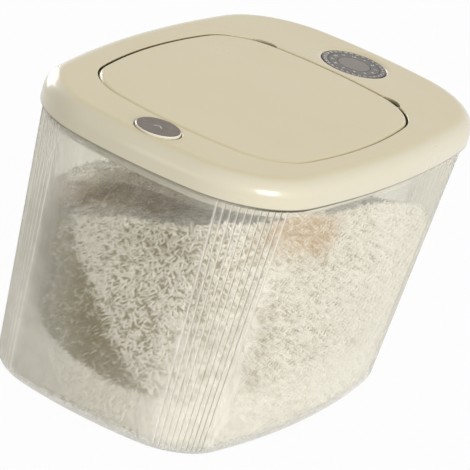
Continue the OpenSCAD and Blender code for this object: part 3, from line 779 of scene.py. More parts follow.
@dataclass
class Tub:
    """The clear tapered tub with bulging sides and reeded corners."""

    mouth: Outline = Outline(107.4, 162.8, 66.1, 17.8)
    foot: Outline = Outline(94.9, 146.2, 50.3, 17.8)
    height: float = 191.5
    taper_top: float = 186.0
    wall: float = 2.5
    floor: float = 4.0
    edge_r: float = 8.1
    floor_r: float = 6.0
    reeds: Reeds = Reeds()
    base_haze: float = 0.05
    # The corner value is a milky film with a painted sheen; the valley value paints white highlights.
    corner_haze: float = 0.32
    valley_haze: float = 0.95
    foot_haze: float = 0.2
    foot_haze_top: float = 46.0
    haze_reach: float = 17.0
    # Height and strength of a painted shadow under the lid's skirt.
    hem: float = 185.0
    hem_line: float = 0.95
    finish: ClearPlastic = ClearPlastic("clear_tub", (249, 248, 243), (247, 245, 239))

    def __post_init__(self) -> None:
        """Works out both outlines once, with their reeds."""
        self.high = self.mouth.stations(self.reeds)
        self.low = self.foot.stations(self.reeds)

    def at(self, z: float) -> np.ndarray:
        """The outline at a height in millimetres."""
        return self.low + (self.high - self.low) * min(z, self.taper_top) / self.taper_top

    def rings(self) -> list[np.ndarray]:
        """The skin from the hollow underside up over the rim and down to the floor inside."""
        depth = self.reeds.depth / MM
        hollow = ((8.2, 1.2), (7.6, 0.5), (7.0, 0.0))
        out = [ring(self.at(0), self.edge_r + inset, z) for inset, z in hollow]
        for k in range(11):
            a = math.pi / 2 * k / 10
            z = self.edge_r * (1 - math.cos(a))
            groove = depth * max(0.0, (k - 1) / 9)
            out.append(ring(self.at(z), self.edge_r * (1 - math.sin(a)), z, groove))
        for z in (40, 80, 120, 160, self.hem - 0.5, self.hem, self.taper_top):
            out.append(ring(self.at(z), 0, z, depth))
        rim = ((0, self.height - 3.0), (0, self.height - 0.5), (0.5, self.height),
               (self.wall - 0.3, self.height), (self.wall, self.height - 0.3))
        out += [ring(self.high, inset, z) for inset, z in rim]
        for z in (self.taper_top, 120, 60, self.floor + self.floor_r + 0.3):
            out.append(ring(self.at(z), self.wall, z))
        for k in range(1, 9):
            a = math.pi / 2 * k / 8
            z = self.floor + self.floor_r * (1 - math.sin(a))
            out.append(ring(self.at(z), self.wall + self.floor_r * (1 - math.cos(a)), z))
        out.append(ring(self.at(self.floor), self.wall + self.floor_r + 1.0, self.floor))
        return out

    def outer(self, place: np.ndarray, points: np.ndarray) -> np.ndarray:
        """Tells the points of the outer face from those of the inner one."""
        share = np.clip(points[:, 2] / (self.taper_top * MM), 0, 1)[:, None]
        row = self.low[place] + (self.high[place] - self.low[place]) * share
        inset = ((row[:, :2] - points[:, :2]) * row[:, 2:4]).sum(1)
        return (inset < self.wall / 2 * MM) | (points[:, 2] < self.floor / 2 * MM)

    def haze(self, place: np.ndarray, points: np.ndarray) -> np.ndarray:
        """How milky the wall is, with painted highlights: white lines in the valleys of the reeds, and a
        milky film with a painted sheen beside them.

        Args:
            place: the station of each point.
            points: the points in metres.

        Returns:
            The share of milk and painted highlight from 0 to 1.
        """
        line, z = self.high, points[:, 2]
        step = np.linalg.norm(np.roll(line, -1, 0)[:, :2] - line[:, :2], axis=1)
        run = np.concatenate([[0], np.cumsum(step)[:-1]])
        total = step.sum()
        reeded = run[line[:, 4] > 0.5]
        gap = np.abs(run[:, None] - reeded[None])
        near = np.exp(-np.minimum(gap, total - gap).min(1) / (self.haze_reach * MM))[place]
        low = np.clip(1.25 - z / (self.height * MM), 0.35, 1) ** 1.2
        fade = np.clip(z / (self.edge_r * MM) - 0.4, 0, 1)
        foot = np.clip((self.foot_haze_top * MM - z) / (12 * MM), 0, 1) * self.foot_haze
        left = np.clip(-line[place, 0] / (60 * MM), 0, 1)
        # Painted sheen in the milky film near the corners, stronger low down and on the left.
        corner = self.corner_haze * near * low * (1 + 1.6 * left)
        milk = (self.base_haze + corner + foot * (1 + left)) * fade
        # Painted highlight: white lines in the valleys of the outer face.
        valley = np.clip((line[place, 4] - 0.12) / 0.5, 0, 1) * np.clip(z / (2 * MM), 0, 1)
        valley *= self.outer(place, points) * (self.valley_haze - 0.3 * self.sideways(place))
        return np.clip(np.maximum(milk, valley), 0, 1)

    def sideways(self, place: np.ndarray) -> np.ndarray:
        """How far each station faces left or right: 0 in front and behind, 1 at the sides."""
        return np.clip((np.abs(self.high[place, 2]) - 0.45) / 0.4, 0, 1)

    def line(self, place: np.ndarray, points: np.ndarray) -> np.ndarray:
        """Painted dark lines: painted shade beside each valley of the reeds, standing in for refraction, and
        a painted shadow where the wall meets the lid.

        Args:
            place: the station of each point.
            points: the points in metres.

        Returns:
            The share of the dark line from 0 to 1.
        """
        z = points[:, 2]
        side, deep = self.sideways(place), self.high[:, 4]
        # Painted shade beside each valley, standing in for refraction.
        beside = np.clip((np.roll(deep, 1)[place] - 0.35) / 0.65, 0, 1) * (deep[place] > 0.2)
        reed = 0.85 * beside * (0.15 + 0.75 * side) * np.clip(z / (2 * MM), 0, 1)
        # Painted shadow of the lid's skirt on the wall.
        lid_shadow = np.clip((z / MM - self.hem + 0.5) * 2, 0, 1) * (z < (self.hem + 2.5) * MM)
        return np.maximum(reed, lid_shadow * self.hem_line * (0.4 + 0.6 * side)) * self.outer(place, points)

    def build(self) -> None:
        """Makes the tub in place of its node."""
        tub = loft("tub_clear", self.rings(), angle_deg=38)
        place = np.zeros(len(tub.data.vertices), np.int32)
        tub.data.attributes["place"].data.foreach_get("value", place)
        paint(tub, "haze", lambda points: self.haze(place, points))
        paint(tub, "line", lambda points: self.line(place, points))
        settle(tub, Body.BIN, self.finish.material(), ["bin_body"])


@dataclass(frozen=True)
class Streak:
    """A soft streak of shade on a wall, from one point to another, in millimetres."""

    share: float
    start: tuple[float, float]
    end: tuple[float, float]
    wide: tuple[float, float]

    def at(self, u: np.ndarray, z: np.ndarray) -> np.ndarray:
        """How strong the streak is.

        Args:
            u: places along the wall in millimetres.
            z: their heights.

        Returns:
            The share of the streak at each place.
        """
        (u0, z0), (u1, z1) = self.start, self.end
        du, dz = u1 - u0, z1 - z0
        run = np.clip(((u - u0) * du + (z - z0) * dz) / (du * du + dz * dz), 0, 1)
        far = np.hypot(u - u0 - run * du, z - z0 - run * dz)
        return self.share * np.exp(-((far / (self.wide[0] + (self.wide[1] - self.wide[0]) * run)) ** 2))


@dataclass(frozen=True)
class Mound:
    """A low swell on the heap of rice, in metres."""

    height: float
    x: float
    y: float
    half_x: float
    half_y: float

    def at(self, x: np.ndarray, y: np.ndarray) -> np.ndarray:
        """How far the mound lifts the heap at places in metres."""
        return self.height * np.exp(-(((x - self.x) / self.half_x) ** 2 + ((y - self.y) / self.half_y) ** 2))


@dataclass
class RiceHeap:
    """The rice in the tub: a body of rice with whole grains against the wall and on top.

    The foot values are the upper edge of the painted light that makes the rice pale at the foot of the front
    wall, and the wedge values are the two edges of the painted shade on that wall, height by height, all in
    millimetres. The slope values are the heap's height as a second-degree surface in metres: 1, x, y, x
    squared, y squared, xy.
    """

    tub: Tub
    grain_length: float = 5.8
    grain_width: float = 1.2
    grain_height: float = 1.15
    wall_count: int = 9600
    top_count: int = 9600
    gap: float = 0.35
    lowest: float = 4.5
    slope: tuple[float, ...] = (0.1346, 0.2648, -0.1716, -0.0151, -0.6876, -0.7449)
    mounds: tuple[Mound, ...] = (Mound(0.014, -0.05, -0.02, 0.05, 0.08), Mound(0.012, 0.1, 0.03, 0.07, 0.07))
    lowest_top: float = 0.07
    highest_top: float = 0.1815
    foot_x: tuple[float, ...] = (-60, -52, -36, -4, 27, 52)
    foot_z: tuple[float, ...] = (75, 61, 43, 36, 34, 35)
    wedge_z: tuple[float, ...] = (36, 40, 49, 61, 81, 111, 125, 150)
    wedge_left: tuple[float, ...] = (8, -22, -42, -54, -60, -66, -66, -60)
    wedge_right: tuple[float, ...] = (52, 44, 33, 20, 4, -22, -30, -34)
    front_streaks: tuple[Streak, ...] = (
        Streak(0.3, (22, 142), (50, 148), (16, 16)), Streak(0.25, (62, 122), (68, 84), (13, 13)))
    right_streak: Streak = Streak(0.3, (-100, 104), (-90, 60), (12, 14))
    brown_streak: Streak = Streak(0.65, (-112, 172), (-66, 158), (20, 17))
    finish: RiceSkin = RiceSkin("rice_grains")
    rng: np.random.Generator = field(default_factory=lambda: np.random.default_rng(RICE_SEED))

    def surface(self, x: np.ndarray, y: np.ndarray) -> np.ndarray:
        """The height of the rice in metres at places in metres."""
        c = self.slope
        high = c[0] + c[1] * x + c[2] * y + c[3] * x * x + c[4] * y * y + c[5] * x * y
        high = high + 0.0022 * np.sin(41 * x + 1.3) * np.cos(33 * y) + 0.0012 * np.sin(90 * x + 70 * y)
        for mound in self.mounds:
            high = high + mound.at(x, y)
        return np.clip(high, self.lowest_top, self.highest_top)

    def walls(self, level: np.ndarray, inset: float, z: np.ndarray) -> tuple[np.ndarray, np.ndarray]:
        """Places on the inside of the tub's wall.

        Args:
            level: a station of the outline for each place, which may lie between two.
            inset: how far inside the tub's wall, in millimetres.
            z: heights in metres.

        Returns:
            The places and the outward normals there.
        """
        count = len(self.tub.low)
        base = np.floor(level).astype(int) % count
        nxt, part = (base + 1) % count, (level % 1)[:, None]
        low = self.tub.low[base] * (1 - part) + self.tub.low[nxt] * part
        high = self.tub.high[base] * (1 - part) + self.tub.high[nxt] * part
        share = np.clip(z / (self.tub.taper_top * MM), 0, 1)[:, None]
        row = low + (high - low) * share
        bottom = (self.tub.floor + self.tub.floor_r) * MM
        curve = np.clip((bottom - z) / (self.tub.floor_r * MM), 0, 1)
        extra = self.tub.floor_r * MM * (1 - np.sqrt(1 - curve ** 2))
        deep = (self.tub.wall + inset) * MM + extra
        flat = row[:, :2] - row[:, 2:4] * deep[:, None]
        out = np.column_stack([row[:, 2:4], np.zeros(len(row))])
        return np.column_stack([flat, z]), out

    def core(self) -> Piece:
        """The body of the rice behind the grains."""
        place = np.arange(len(self.tub.low)).astype(float)
        inset = self.gap + self.grain_height * 0.75
        rings = [self.walls(place, inset + 12, np.full(len(place), (self.lowest + 1.0) * MM))[0]]
        for t in np.linspace(0, 1, 34):
            start = np.full(len(place), (self.lowest + 1.4) * MM)
            spot, _ = self.walls(place, inset, start)
            for _ in range(2):
                z = start + (self.surface(spot[:, 0], spot[:, 1]) - 0.0012 - start) * t
                spot, _ = self.walls(place, inset, z)
            rings.append(spot)
        rim = rings[-1]
        for s in np.linspace(0.93, 0.03, 16):
            flat = rim[:, :2] * s
            rings.append(np.column_stack([flat, self.surface(flat[:, 0], flat[:, 1]) - 0.0012]))
        return loft("rice_body", rings, angle_deg=60)

    def shading(self, spot: np.ndarray) -> tuple[np.ndarray, np.ndarray, np.ndarray]:
        """Where painted shade makes the rice olive, where painted shade under the lid makes it brown, and
        where painted light makes it pale at the foot.

        Args:
            spot: places in metres.

        Returns:
            The three shares at each place.
        """
        x, y, z = spot.T / MM
        front, right = np.clip((-y - 118) / 12, 0, 1), np.clip((x - 74) / 10, 0, 1)
        above = np.clip((z - np.interp(x, self.foot_x, self.foot_z)) / 2.0, 0, 1)
        left = np.interp(z, self.wedge_z, self.wedge_left)
        wedge = above * np.clip((x - left) / 9, 0, 1)
        wedge *= np.clip((np.interp(z, self.wedge_z, self.wedge_right) - x) / 13, 0, 1)
        # Painted shade: the wedge and the streaks on the front and right walls.
        shade = front * 1.35 * wedge + right * self.right_streak.at(y, z)
        for streak in self.front_streaks:
            shade += front * streak.at(x, z)
        # Painted brown shade under the lid, on the right wall and on the heap.
        brown = right * self.brown_streak.at(y, z) * np.clip((-42 - y) / 3, 0, 1)
        heap = 1 - np.maximum(front, right)
        brown += heap * 0.8 * np.exp(-(((x + 22) / 50) ** 4 + ((y + 102) / 50) ** 4))
        # Painted light: paler rice at the foot of the front and right walls.
        return shade, brown, front * (1 - above) + right * np.clip((60 - z) / 20, 0, 1) * 0.6

    def tone(self, spot: np.ndarray) -> tuple[np.ndarray, np.ndarray]:
        """How pale and how brown each grain is: a random tone, with painted shade and painted light from its
        place in the tub.

        Args:
            spot: the grains' places in metres.

        Returns:
            The tones from 0, shaded, to 1, pale, and the warmths from 0, olive, to 1, brown.
        """
        shade, brown, pale = self.shading(spot)
        tone = 0.89 + 0.13 * self.rng.standard_normal(len(spot))
        dim = 0.35 + 1.3 * self.rng.uniform(0, 1, len(spot)) ** 1.3
        # Painted shade darkens the grains, some more than others, and painted light lifts those at the foot.
        tone = tone + pale * 0.12 - (shade * 0.85 + brown) * dim
        return np.clip(tone, 0.03, 1.0), np.clip(brown * 2.2, 0, 1)

    def core_tone(self, spot: np.ndarray) -> np.ndarray:
        """How pale the rice is between the grains: dark with painted shade on the walls, paler with painted
        light on top and at the foot.
        """
        shade, brown, pale = self.shading(spot)
        depth = self.surface(spot[:, 0], spot[:, 1]) - spot[:, 2]
        # Painted light: paler just under the heap's top.
        painted_top_light = np.clip(1 - depth / 0.003, 0, 1) * 0.6
        return np.clip(0.16 - 0.4 * shade - 0.2 * brown + 0.6 * pale + painted_top_light, 0, 1)

    def grain(self) -> tuple[np.ndarray, np.ndarray]:
        """One grain along X, as points and triangles, modelled from a sphere."""
        alone()
        lengthwise = (0, math.pi / 2, 0)
        bpy.ops.mesh.primitive_uv_sphere_add(segments=5, ring_count=3, radius=1, rotation=lengthwise)
        obj = bpy.context.active_object
        bpy.ops.object.transform_apply(rotation=True)
        bpy.ops.object.mode_set(mode="EDIT")
        bpy.ops.mesh.select_all(action="SELECT")
        half = (self.grain_length / 2 * MM, self.grain_width / 2 * MM, self.grain_height / 2 * MM)
        bpy.ops.transform.resize(value=half, center_override=(0, 0, 0))
        bpy.ops.mesh.quads_convert_to_tris()
        bpy.ops.object.mode_set(mode="OBJECT")
        points = np.zeros(len(obj.data.vertices) * 3)
        obj.data.vertices.foreach_get("co", points)
        faces = np.array([list(p.vertices) for p in obj.data.polygons])
        bpy.data.objects.remove(obj)
        points = points.reshape(-1, 3)
        inner = np.abs(points[:, 0]) < self.grain_length * 0.4 * MM
        points[inner] *= [1.15, 1.12, 1.12]
        return points, faces

    def scatter(self, name: str, spot: np.ndarray, up: np.ndarray, tilt: float, on_wall: float) -> Piece:
        """Lays copies of the grain flat on places, each turned its own way.

        Args:
            name: the piece's name.
            spot: the places in metres.
            up: the direction away from the rice at each place.
            tilt: how far a grain may tip out of its place's plane, in radians.
            on_wall: 1 for grains on the wall and 0 for grains on top.

        Returns:
            The piece.
        """
        points, faces = self.grain()
        count = len(spot)
        side = np.cross(up, [0.0, 0.0, 1.0]) if on_wall else np.cross(up, [0.0, 1.0, 0.0])
        side /= np.linalg.norm(side, axis=1)[:, None]
        other = np.cross(up, side)
        lean = self.rng.normal(0.0, 0.9, count) if on_wall else self.rng.uniform(0, math.pi, count)
        tip = self.rng.normal(0, tilt, count)
        along = side * np.cos(lean)[:, None] + other * np.sin(lean)[:, None]
        long_axis = along * np.cos(tip)[:, None] + up * np.sin(tip)[:, None]
        cross = np.cross(up, long_axis)
        cross /= np.linalg.norm(cross, axis=1)[:, None]
        normal = np.cross(long_axis, cross)
        size = self.rng.uniform(0.86, 1.12, count)[:, None, None]
        turn = np.stack([long_axis, cross, normal], axis=1)
        whole = np.einsum("pk,nkj->npj", points, turn) * size + spot[:, None, :]
        triangles = faces[None] + (np.arange(count) * len(points))[:, None, None]
        mesh = bpy.data.meshes.new(name)
        mesh.vertices.add(count * len(points))
        mesh.vertices.foreach_set("co", whole.ravel())
        mesh.loops.add(count * len(faces) * 3)
        mesh.loops.foreach_set("vertex_index", triangles.ravel().astype(np.int32))
        mesh.polygons.add(count * len(faces))
        mesh.polygons.foreach_set("loop_start", np.arange(0, count * len(faces) * 3, 3, dtype=np.int32))
        mesh.update(calc_edges=True)
        for attribute, values in zip(("tone", "warmth"), self.tone(spot)):
            shown = np.repeat(values, len(points)).astype(np.float32)
            mesh.attributes.new(attribute, "FLOAT", "POINT").data.foreach_set("value", shown)
        obj = bpy.data.objects.new(name, mesh)
        bpy.context.scene.collection.objects.link(obj)
        pick(obj)
        bpy.ops.object.shade_smooth()
        return obj

    def wall_grains(self, name: str, keep: Callable[[np.ndarray], np.ndarray], count: int) -> Piece:
        """Grains pressed against the wall in the part of the tub that keep picks."""
        outline = self.tub.high
        length = np.linalg.norm(np.roll(outline, -1, 0)[:, :2] - outline[:, :2], axis=1)
        total = np.concatenate([[0], np.cumsum(length)])
        found, faced = [], []
        while sum(len(f) for f in found) < count:
            run = self.rng.uniform(0, total[-1], count)
            level = np.interp(run, total, np.arange(len(total)))
            z = self.rng.uniform(self.lowest * MM + 0.0012, 0.182, count)
            layer = self.rng.choice([0.0, 0.6], count, p=[0.7, 0.3])
            spot, out = self.walls(level, self.gap + self.grain_height * 0.5, z)
            spot = spot - out * (layer * MM)[:, None]
            fits = (z < self.surface(spot[:, 0], spot[:, 1])) & keep(spot)
            found.append(spot[fits])
            faced.append(out[fits])
        return self.scatter(name, np.vstack(found)[:count], np.vstack(faced)[:count], 0.05, 1)

    def top_grains(self, name: str) -> Piece:
        """Loose grains on the heap."""
        reach = 160
        level = self.rng.uniform(0, len(self.tub.high), self.top_count * 2)
        share = np.sqrt(self.rng.uniform(0, 1, len(level)))
        z = np.full(len(level), 0.14)
        for _ in range(3):
            edge, _ = self.walls(level, self.gap + 3.0, z)
            flat = edge[:, :2] * share[:, None]
            z = self.surface(flat[:, 0], flat[:, 1])
        spot = np.column_stack([flat, z])
        weight = np.hypot(*edge[:, :2].T) * 1000 / reach
        kept = self.rng.uniform(0, 1, len(spot)) < np.clip(weight ** 2 * 0.9, 0.2, 1)
        spot = spot[kept][: self.top_count]
        step = 1e-4
        dx = (self.surface(spot[:, 0] + step, spot[:, 1]) - spot[:, 2]) / step
        dy = (self.surface(spot[:, 0], spot[:, 1] + step) - spot[:, 2]) / step
        up = np.column_stack([-dx, -dy, np.ones(len(spot))])
        up /= np.linalg.norm(up, axis=1)[:, None]
        spot = spot + up * self.rng.uniform(-0.0006, 0.0006, len(spot))[:, None]
        return self.scatter(name, spot, up, 0.22, 0)

    def build(self) -> None:
        """Makes the rice, which rides on the tub."""
        skin = self.finish.material()
        core = self.core()
        # Painted shade and painted light between the grains.
        paint(core, "tone", self.core_tone)
        paint(core, "warmth", lambda points: np.clip(self.shading(points)[1] * 2.2, 0, 1))
        settle(core, Body.BIN, skin)
        sides = {
            "rice_front_left": lambda p: (p[:, 1] < 0) & (p[:, 0] < 0),
            "rice_front_right": lambda p: (p[:, 1] < 0) & (p[:, 0] >= 0),
            "rice_back_left": lambda p: (p[:, 1] >= 0) & (p[:, 0] < 0),
            "rice_back_right": lambda p: (p[:, 1] >= 0) & (p[:, 0] >= 0)}
        pieces = [self.wall_grains(name, keep, self.wall_count) for name, keep in sides.items()]
        for piece in (*pieces, self.top_grains("rice_top")):
            settle(piece, Body.BIN, skin)


@dataclass
class Lid:
    """The cream lid: a rounded skirt, the dial's recess, the button's hole and the flap's opening."""

    rim: Outline = Outline(107.4, 162.8, 66.1, 17.8)
    opening: Outline = Outline(85.6, 105.2, 44.8, 14.1, centre_y=-15.4)
    bottom: float = 187.0
    top: float = 206.0
    edge_r: float = 11.5
    skirt: float = 2.0
    out: float = 2.6
    top_t: float = 2.5
    gap: float = 0.8
    dial_y: float = 122.0
    button_y: float = -140.2
    hinge: tuple[float, float] = (84.0, 203.0)
    pin_r: float = 1.05
    screw_spots: tuple[tuple[float, float], ...] = ((91.5, -60), (91.5, 35), (66, 122), (52, -139))
    screw_post_r: float = 3.5
    screw_hole_r: float = 1.5
    well_r: float = 23.1
    well_floor: float = 199.5
    cup_r: float = 25.3
    button_hole_r: float = 15.9
    collar_r: float = 17.6
    # The last colour is a painted sheen on the rounded edge and the skirt.
    finish: MouldedPlastic = MouldedPlastic(
        "cream_lid", (218, 205, 163), (213, 199, 157), 0.3, 0.45, 0.0, (215, 207, 182))

    def rings(self) -> list[np.ndarray]:
        """The skin from the skirt over the top, down the opening's lip and back inside."""
        rim, lip = self.rim.stations(), self.opening.stations()
        ceiling = self.top - self.top_t
        mid = self.top - self.edge_r
        hem = ((0.5, 0.0), (0.1, 0.15), (0.0, 0.5), (0.0, 1.1))
        out = [ring(rim, inset - self.out, self.bottom + z) for inset, z in hem]
        for k in range(13):
            a = math.pi / 2 * k / 12
            inset = self.edge_r * (1 - math.cos(a)) - self.out
            out.append(ring(rim, inset, mid + self.edge_r * math.sin(a)))
        out.append(ring(rim, self.edge_r + 0.4 - self.out, self.top))
        out.append(ring(lip, -self.gap - 1.0, self.top))
        for k in range(5):
            a = math.pi / 2 * k / 4
            out.append(ring(lip, -self.gap - 0.7 * (1 - math.sin(a)), self.top - 0.7 * (1 - math.cos(a))))
        out += [ring(lip, -self.gap, self.top - 1.5), ring(lip, -self.gap - 1.2, self.top - 1.9),
                ring(lip, -self.gap - 1.2, ceiling)]
        for k in range(8, -1, -1):
            a = math.pi / 2 * k / 8
            out.append(ring(rim, self.edge_r - (self.edge_r - self.skirt) * math.cos(a) - self.out,
                            mid + (self.edge_r - self.top_t) * math.sin(a)))
        out.append(ring(rim, self.skirt - self.out, self.bottom))
        return out

    def recess(self) -> Piece:
        """The space of the dial: a rounded rim and a round well."""
        profile = [(0.0, self.well_floor), (self.well_r, self.well_floor), (self.well_r, self.top - 2.2)]
        for k in range(1, 13):
            a = math.pi / 2 * k / 12
            profile.append((self.well_r + 4.4 * (1 - math.cos(a)), self.top - 2.2 + 2.2 * math.sin(a)))
        profile += [(27.6, self.top + 1.0), (0.0, self.top + 1.0)]
        return turned("recess", profile, (0, self.dial_y), 128)

    def button_hole(self) -> Piece:
        """The hole of the button with its bevelled mouth."""
        r, top = self.button_hole_r, self.top
        profile = [(0.0, 200.0), (r, 200.0), (r, top - 0.7), (r + 0.2, top - 0.35), (r + 0.6, top - 0.08),
                   (r + 1.1, top + 0.02), (r + 1.1, top + 1.0), (0.0, top + 1.0)]
        return turned("button_hole", profile, (0, self.button_y), 96)

    def hinge_cut(self, side: int) -> Piece:
        """The room that the flap's corner swings through, on one side."""
        lip = self.opening.stations()
        near = lip[(lip[:, 0] * side > 0) & (lip[:, 1] > 0)]
        row = near[np.argmin(np.abs(near[:, 1] - self.hinge[0] * MM))]
        away = self.gap + 3.1 - 12
        x, y = row[0] / MM + row[2] * away, row[1] / MM + row[3] * away
        return bar(12, (x, y, 202.5), (x, y, 207), 96)

    def build(self) -> None:
        """Makes the lid in place of its node."""
        lid = loft("lid_cream", self.rings(), loop=True)
        combine(lid, [self.hinge_cut(1), self.hinge_cut(-1)], "DIFFERENCE")
        cup = bar(self.cup_r, (0, self.dial_y, 197.5), (0, self.dial_y, 204.0), 128)
        collar = bar(self.collar_r, (0, self.button_y, 202.9), (0, self.button_y, 204.0), 96)
        sockets = crossbars(2.4, 58.9, 63.5, self.hinge, 64)
        posts = uprights(self.screw_post_r, self.screw_spots, 195, 203.9)
        combine(lid, [cup, collar, *sockets, *posts], "UNION")
        bore = bar(1.7, (0, self.dial_y, 196), (0, self.dial_y, 201), 32)
        holes = uprights(self.screw_hole_r, self.screw_spots, 194, 202.5)
        pins = crossbars(self.pin_r, 40, 62.3, self.hinge)
        combine(lid, [self.recess(), self.button_hole(), bore, *holes, *pins], "DIFFERENCE")
        even_normals(lid)
        # Painted shade in the gap round the flap and along the skirt's hem.
        paint(lid, "seam", self.seam)
        # Painted sheen: paler as the lid bends down from its top.
        paint(lid, "side", lambda points: np.clip((self.top - 0.05 - points[:, 2] / MM) / 1.6, 0, 1))
        settle(lid, Body.LID, self.finish.material(), ["lid_frame"])
        self.dress_inside()

    def seam(self, points: np.ndarray) -> np.ndarray:
        """Where shade is painted on the lid: in the gap round the flap and along the skirt's hem."""
        x, y, z = points.T / MM
        edge = self.opening
        lip = (np.abs(x) < edge.half_w + 3) & (np.abs(y - edge.centre_y) < edge.half_d + 3)
        gap = lip & (z < self.top - 1.2) & (z > self.top - 3.5)
        return (gap | (z < self.bottom + 0.6)).astype(float)

    def dress_inside(self) -> None:
        """Dresses the pieces under the lid's skin."""
        liner = MilkyPlastic("inner_plastic", (236, 233, 224)).material()
        dress_nodes(["lid_liner", "panel_liner"], liner)
        dress_nodes(["lid_seal", "panel_seal"], Silicone("seal_rubber").material())
        dress_nodes(["lid_screws", "panel_screws", "hinge_pin_left", "hinge_pin_right", "dial_screw"],
                    DrawnSteel("screw_steel").material())
        dress_nodes(["hinge_spring_left", "hinge_spring_right", "button_spring", "latch_spring"],
                    DrawnSteel("spring_wire", (176, 176, 180), 0.22).material())
        latch = MouldedPlastic("latch_white", (240, 238, 230), (230, 228, 218), 0.35, 0.1, 0.2)
        dress_nodes(["latch_slider"], latch.material())


@dataclass
class Flap:
    """The flap over the mouth, with its rounded top edge."""

    outline: Outline = Outline(85.6, 105.2, 44.8, 14.1, centre_y=-15.4)
    bottom: float = 200.5
    top: float = 206.0
    ceiling: float = 203.3
    edge_r: float = 3.0
    wall: float = 2.0
    hinge: tuple[float, float] = (84.0, 203.0)
    pin_r: float = 1.05
    knuckle_r: float = 2.2
    spring_room: tuple[float, float] = (23.5, 33.0)
    spring_room_r: float = 2.15
    screw_spots: tuple[tuple[float, float], ...] = ((59.5, -92), (59.5, 61.5))
    screw_post_r: float = 3.2
    screw_hole_r: float = 1.15
    # The last colour is a painted sheen; the flap paints no side attribute, so it does not show.
    finish: MouldedPlastic = MouldedPlastic(
        "cream_flap", (218, 205, 163), (213, 199, 157), 0.3, 0.45, 0.0, (215, 207, 182))

    def build(self) -> None:
        """Makes the flap in place of its node."""
        line = self.outline.stations()
        inside = ((self.wall + 1, self.ceiling), (self.wall, self.ceiling),
                  (self.wall, self.bottom), (0, self.bottom))
        rings = [ring(line, inset, z) for inset, z in inside]
        for k in range(11):
            a = math.pi / 2 * k / 10
            down = self.edge_r * (1 - math.sin(a))
            rings.append(ring(line, self.edge_r * (1 - math.cos(a)), self.top - down))
        rings.append(ring(line, self.edge_r + 0.5, self.top))
        flap = loft("flap_cream", rings)
        knuckles = crossbars(self.knuckle_r, 33.5, 42.5, self.hinge, 48)
        posts = uprights(self.screw_post_r, self.screw_spots, self.bottom, self.ceiling + 0.3)
        combine(flap, [*knuckles, *posts], "UNION")
        pins = crossbars(self.pin_r, 32.5, 62, self.hinge)
        rooms = crossbars(self.spring_room_r, *self.spring_room, self.hinge, 48)
        holes = uprights(self.screw_hole_r, self.screw_spots, self.bottom - 1, self.ceiling)
        combine(flap, [*pins, *rooms, *holes, *[self.notch(s) for s in (1, -1)]], "DIFFERENCE")
        even_normals(flap)
        # Painted shade on the flap's side, in the gap round it.
        paint(flap, "seam", lambda points: np.clip((self.top - 1.3 - points[:, 2] / MM) / 0.8, 0, 1))
        settle(flap, Body.FLAP, self.finish.material(), ["flip_panel"])

    def notch(self, side: int) -> Piece:
        """The notch for a spring's leg, on one side."""
        alone()
        near, far = self.spring_room
        low = Vector((near, self.hinge[0], self.bottom - 1))
        high = Vector((far, self.hinge[0] + 7.8, self.ceiling))
        middle, size = (low + high) / 2 * MM, (high - low) * MM
        bpy.ops.mesh.primitive_cube_add(size=1)
        obj = bpy.context.active_object
        place = Matrix.Translation((side * middle.x, middle.y, middle.z))
        obj.data.transform(place @ Matrix.Diagonal((*size, 1)))
        return obj


@dataclass
class PushButton:
    """The push button with its brushed plate and a plain opening sign."""

    centre_y: float = -140.2
    plate_top: float = 207.5
    sign: Mark = Mark("sign_pale", (214, 208, 200))

    def build(self) -> None:
        """Dresses the button and lays the sign into its plate."""
        body = MouldedPlastic("button_cream", (240, 234, 218), (232, 225, 206), 0.22, 0.4, 0.15).material()
        dress_nodes(["button_body"], body)
        centre = (0, self.centre_y * MM, 0)
        plate = BrushedMetal("button_metal", (126, 115, 104), (98, 88, 79), Brush.STRAIGHT, centre, 0.36)
        dress_nodes(["button_plate"], plate.material())
        self.make_sign()

    def make_sign(self) -> None:
        """Makes a small chevron that points at the flap."""
        alone()
        bpy.ops.mesh.primitive_plane_add(size=1)
        obj = bpy.context.active_object
        obj.name = obj.data.name = "button_sign"
        bpy.ops.object.mode_set(mode="EDIT")
        bpy.ops.mesh.select_all(action="SELECT")
        bpy.ops.mesh.delete(type="VERT")
        edit = bmesh.from_edit_mesh(obj.data)
        shape = [(-3.0, -1.5), (0.0, 1.1), (3.0, -1.5), (3.0, -0.5), (0.0, 2.1), (-3.0, -0.5)]
        z = (self.plate_top + 0.02) * MM
        made = [edit.verts.new((x * MM, (self.centre_y + y) * MM, z)) for x, y in shape]
        edit.faces.new([made[0], made[1], made[4], made[5]])
        edit.faces.new([made[1], made[2], made[3], made[4]])
        bmesh.update_edit_mesh(obj.data)
        bpy.ops.mesh.select_all(action="SELECT")
        bpy.ops.mesh.extrude_region_move(TRANSFORM_OT_translate={"value": (0, 0, -0.00012)})
        bpy.ops.mesh.select_all(action="SELECT")
        bpy.ops.mesh.normals_make_consistent(inside=False)
        bpy.ops.object.mode_set(mode="OBJECT")
        settle(obj, Body.BUTTON, self.sign.material())


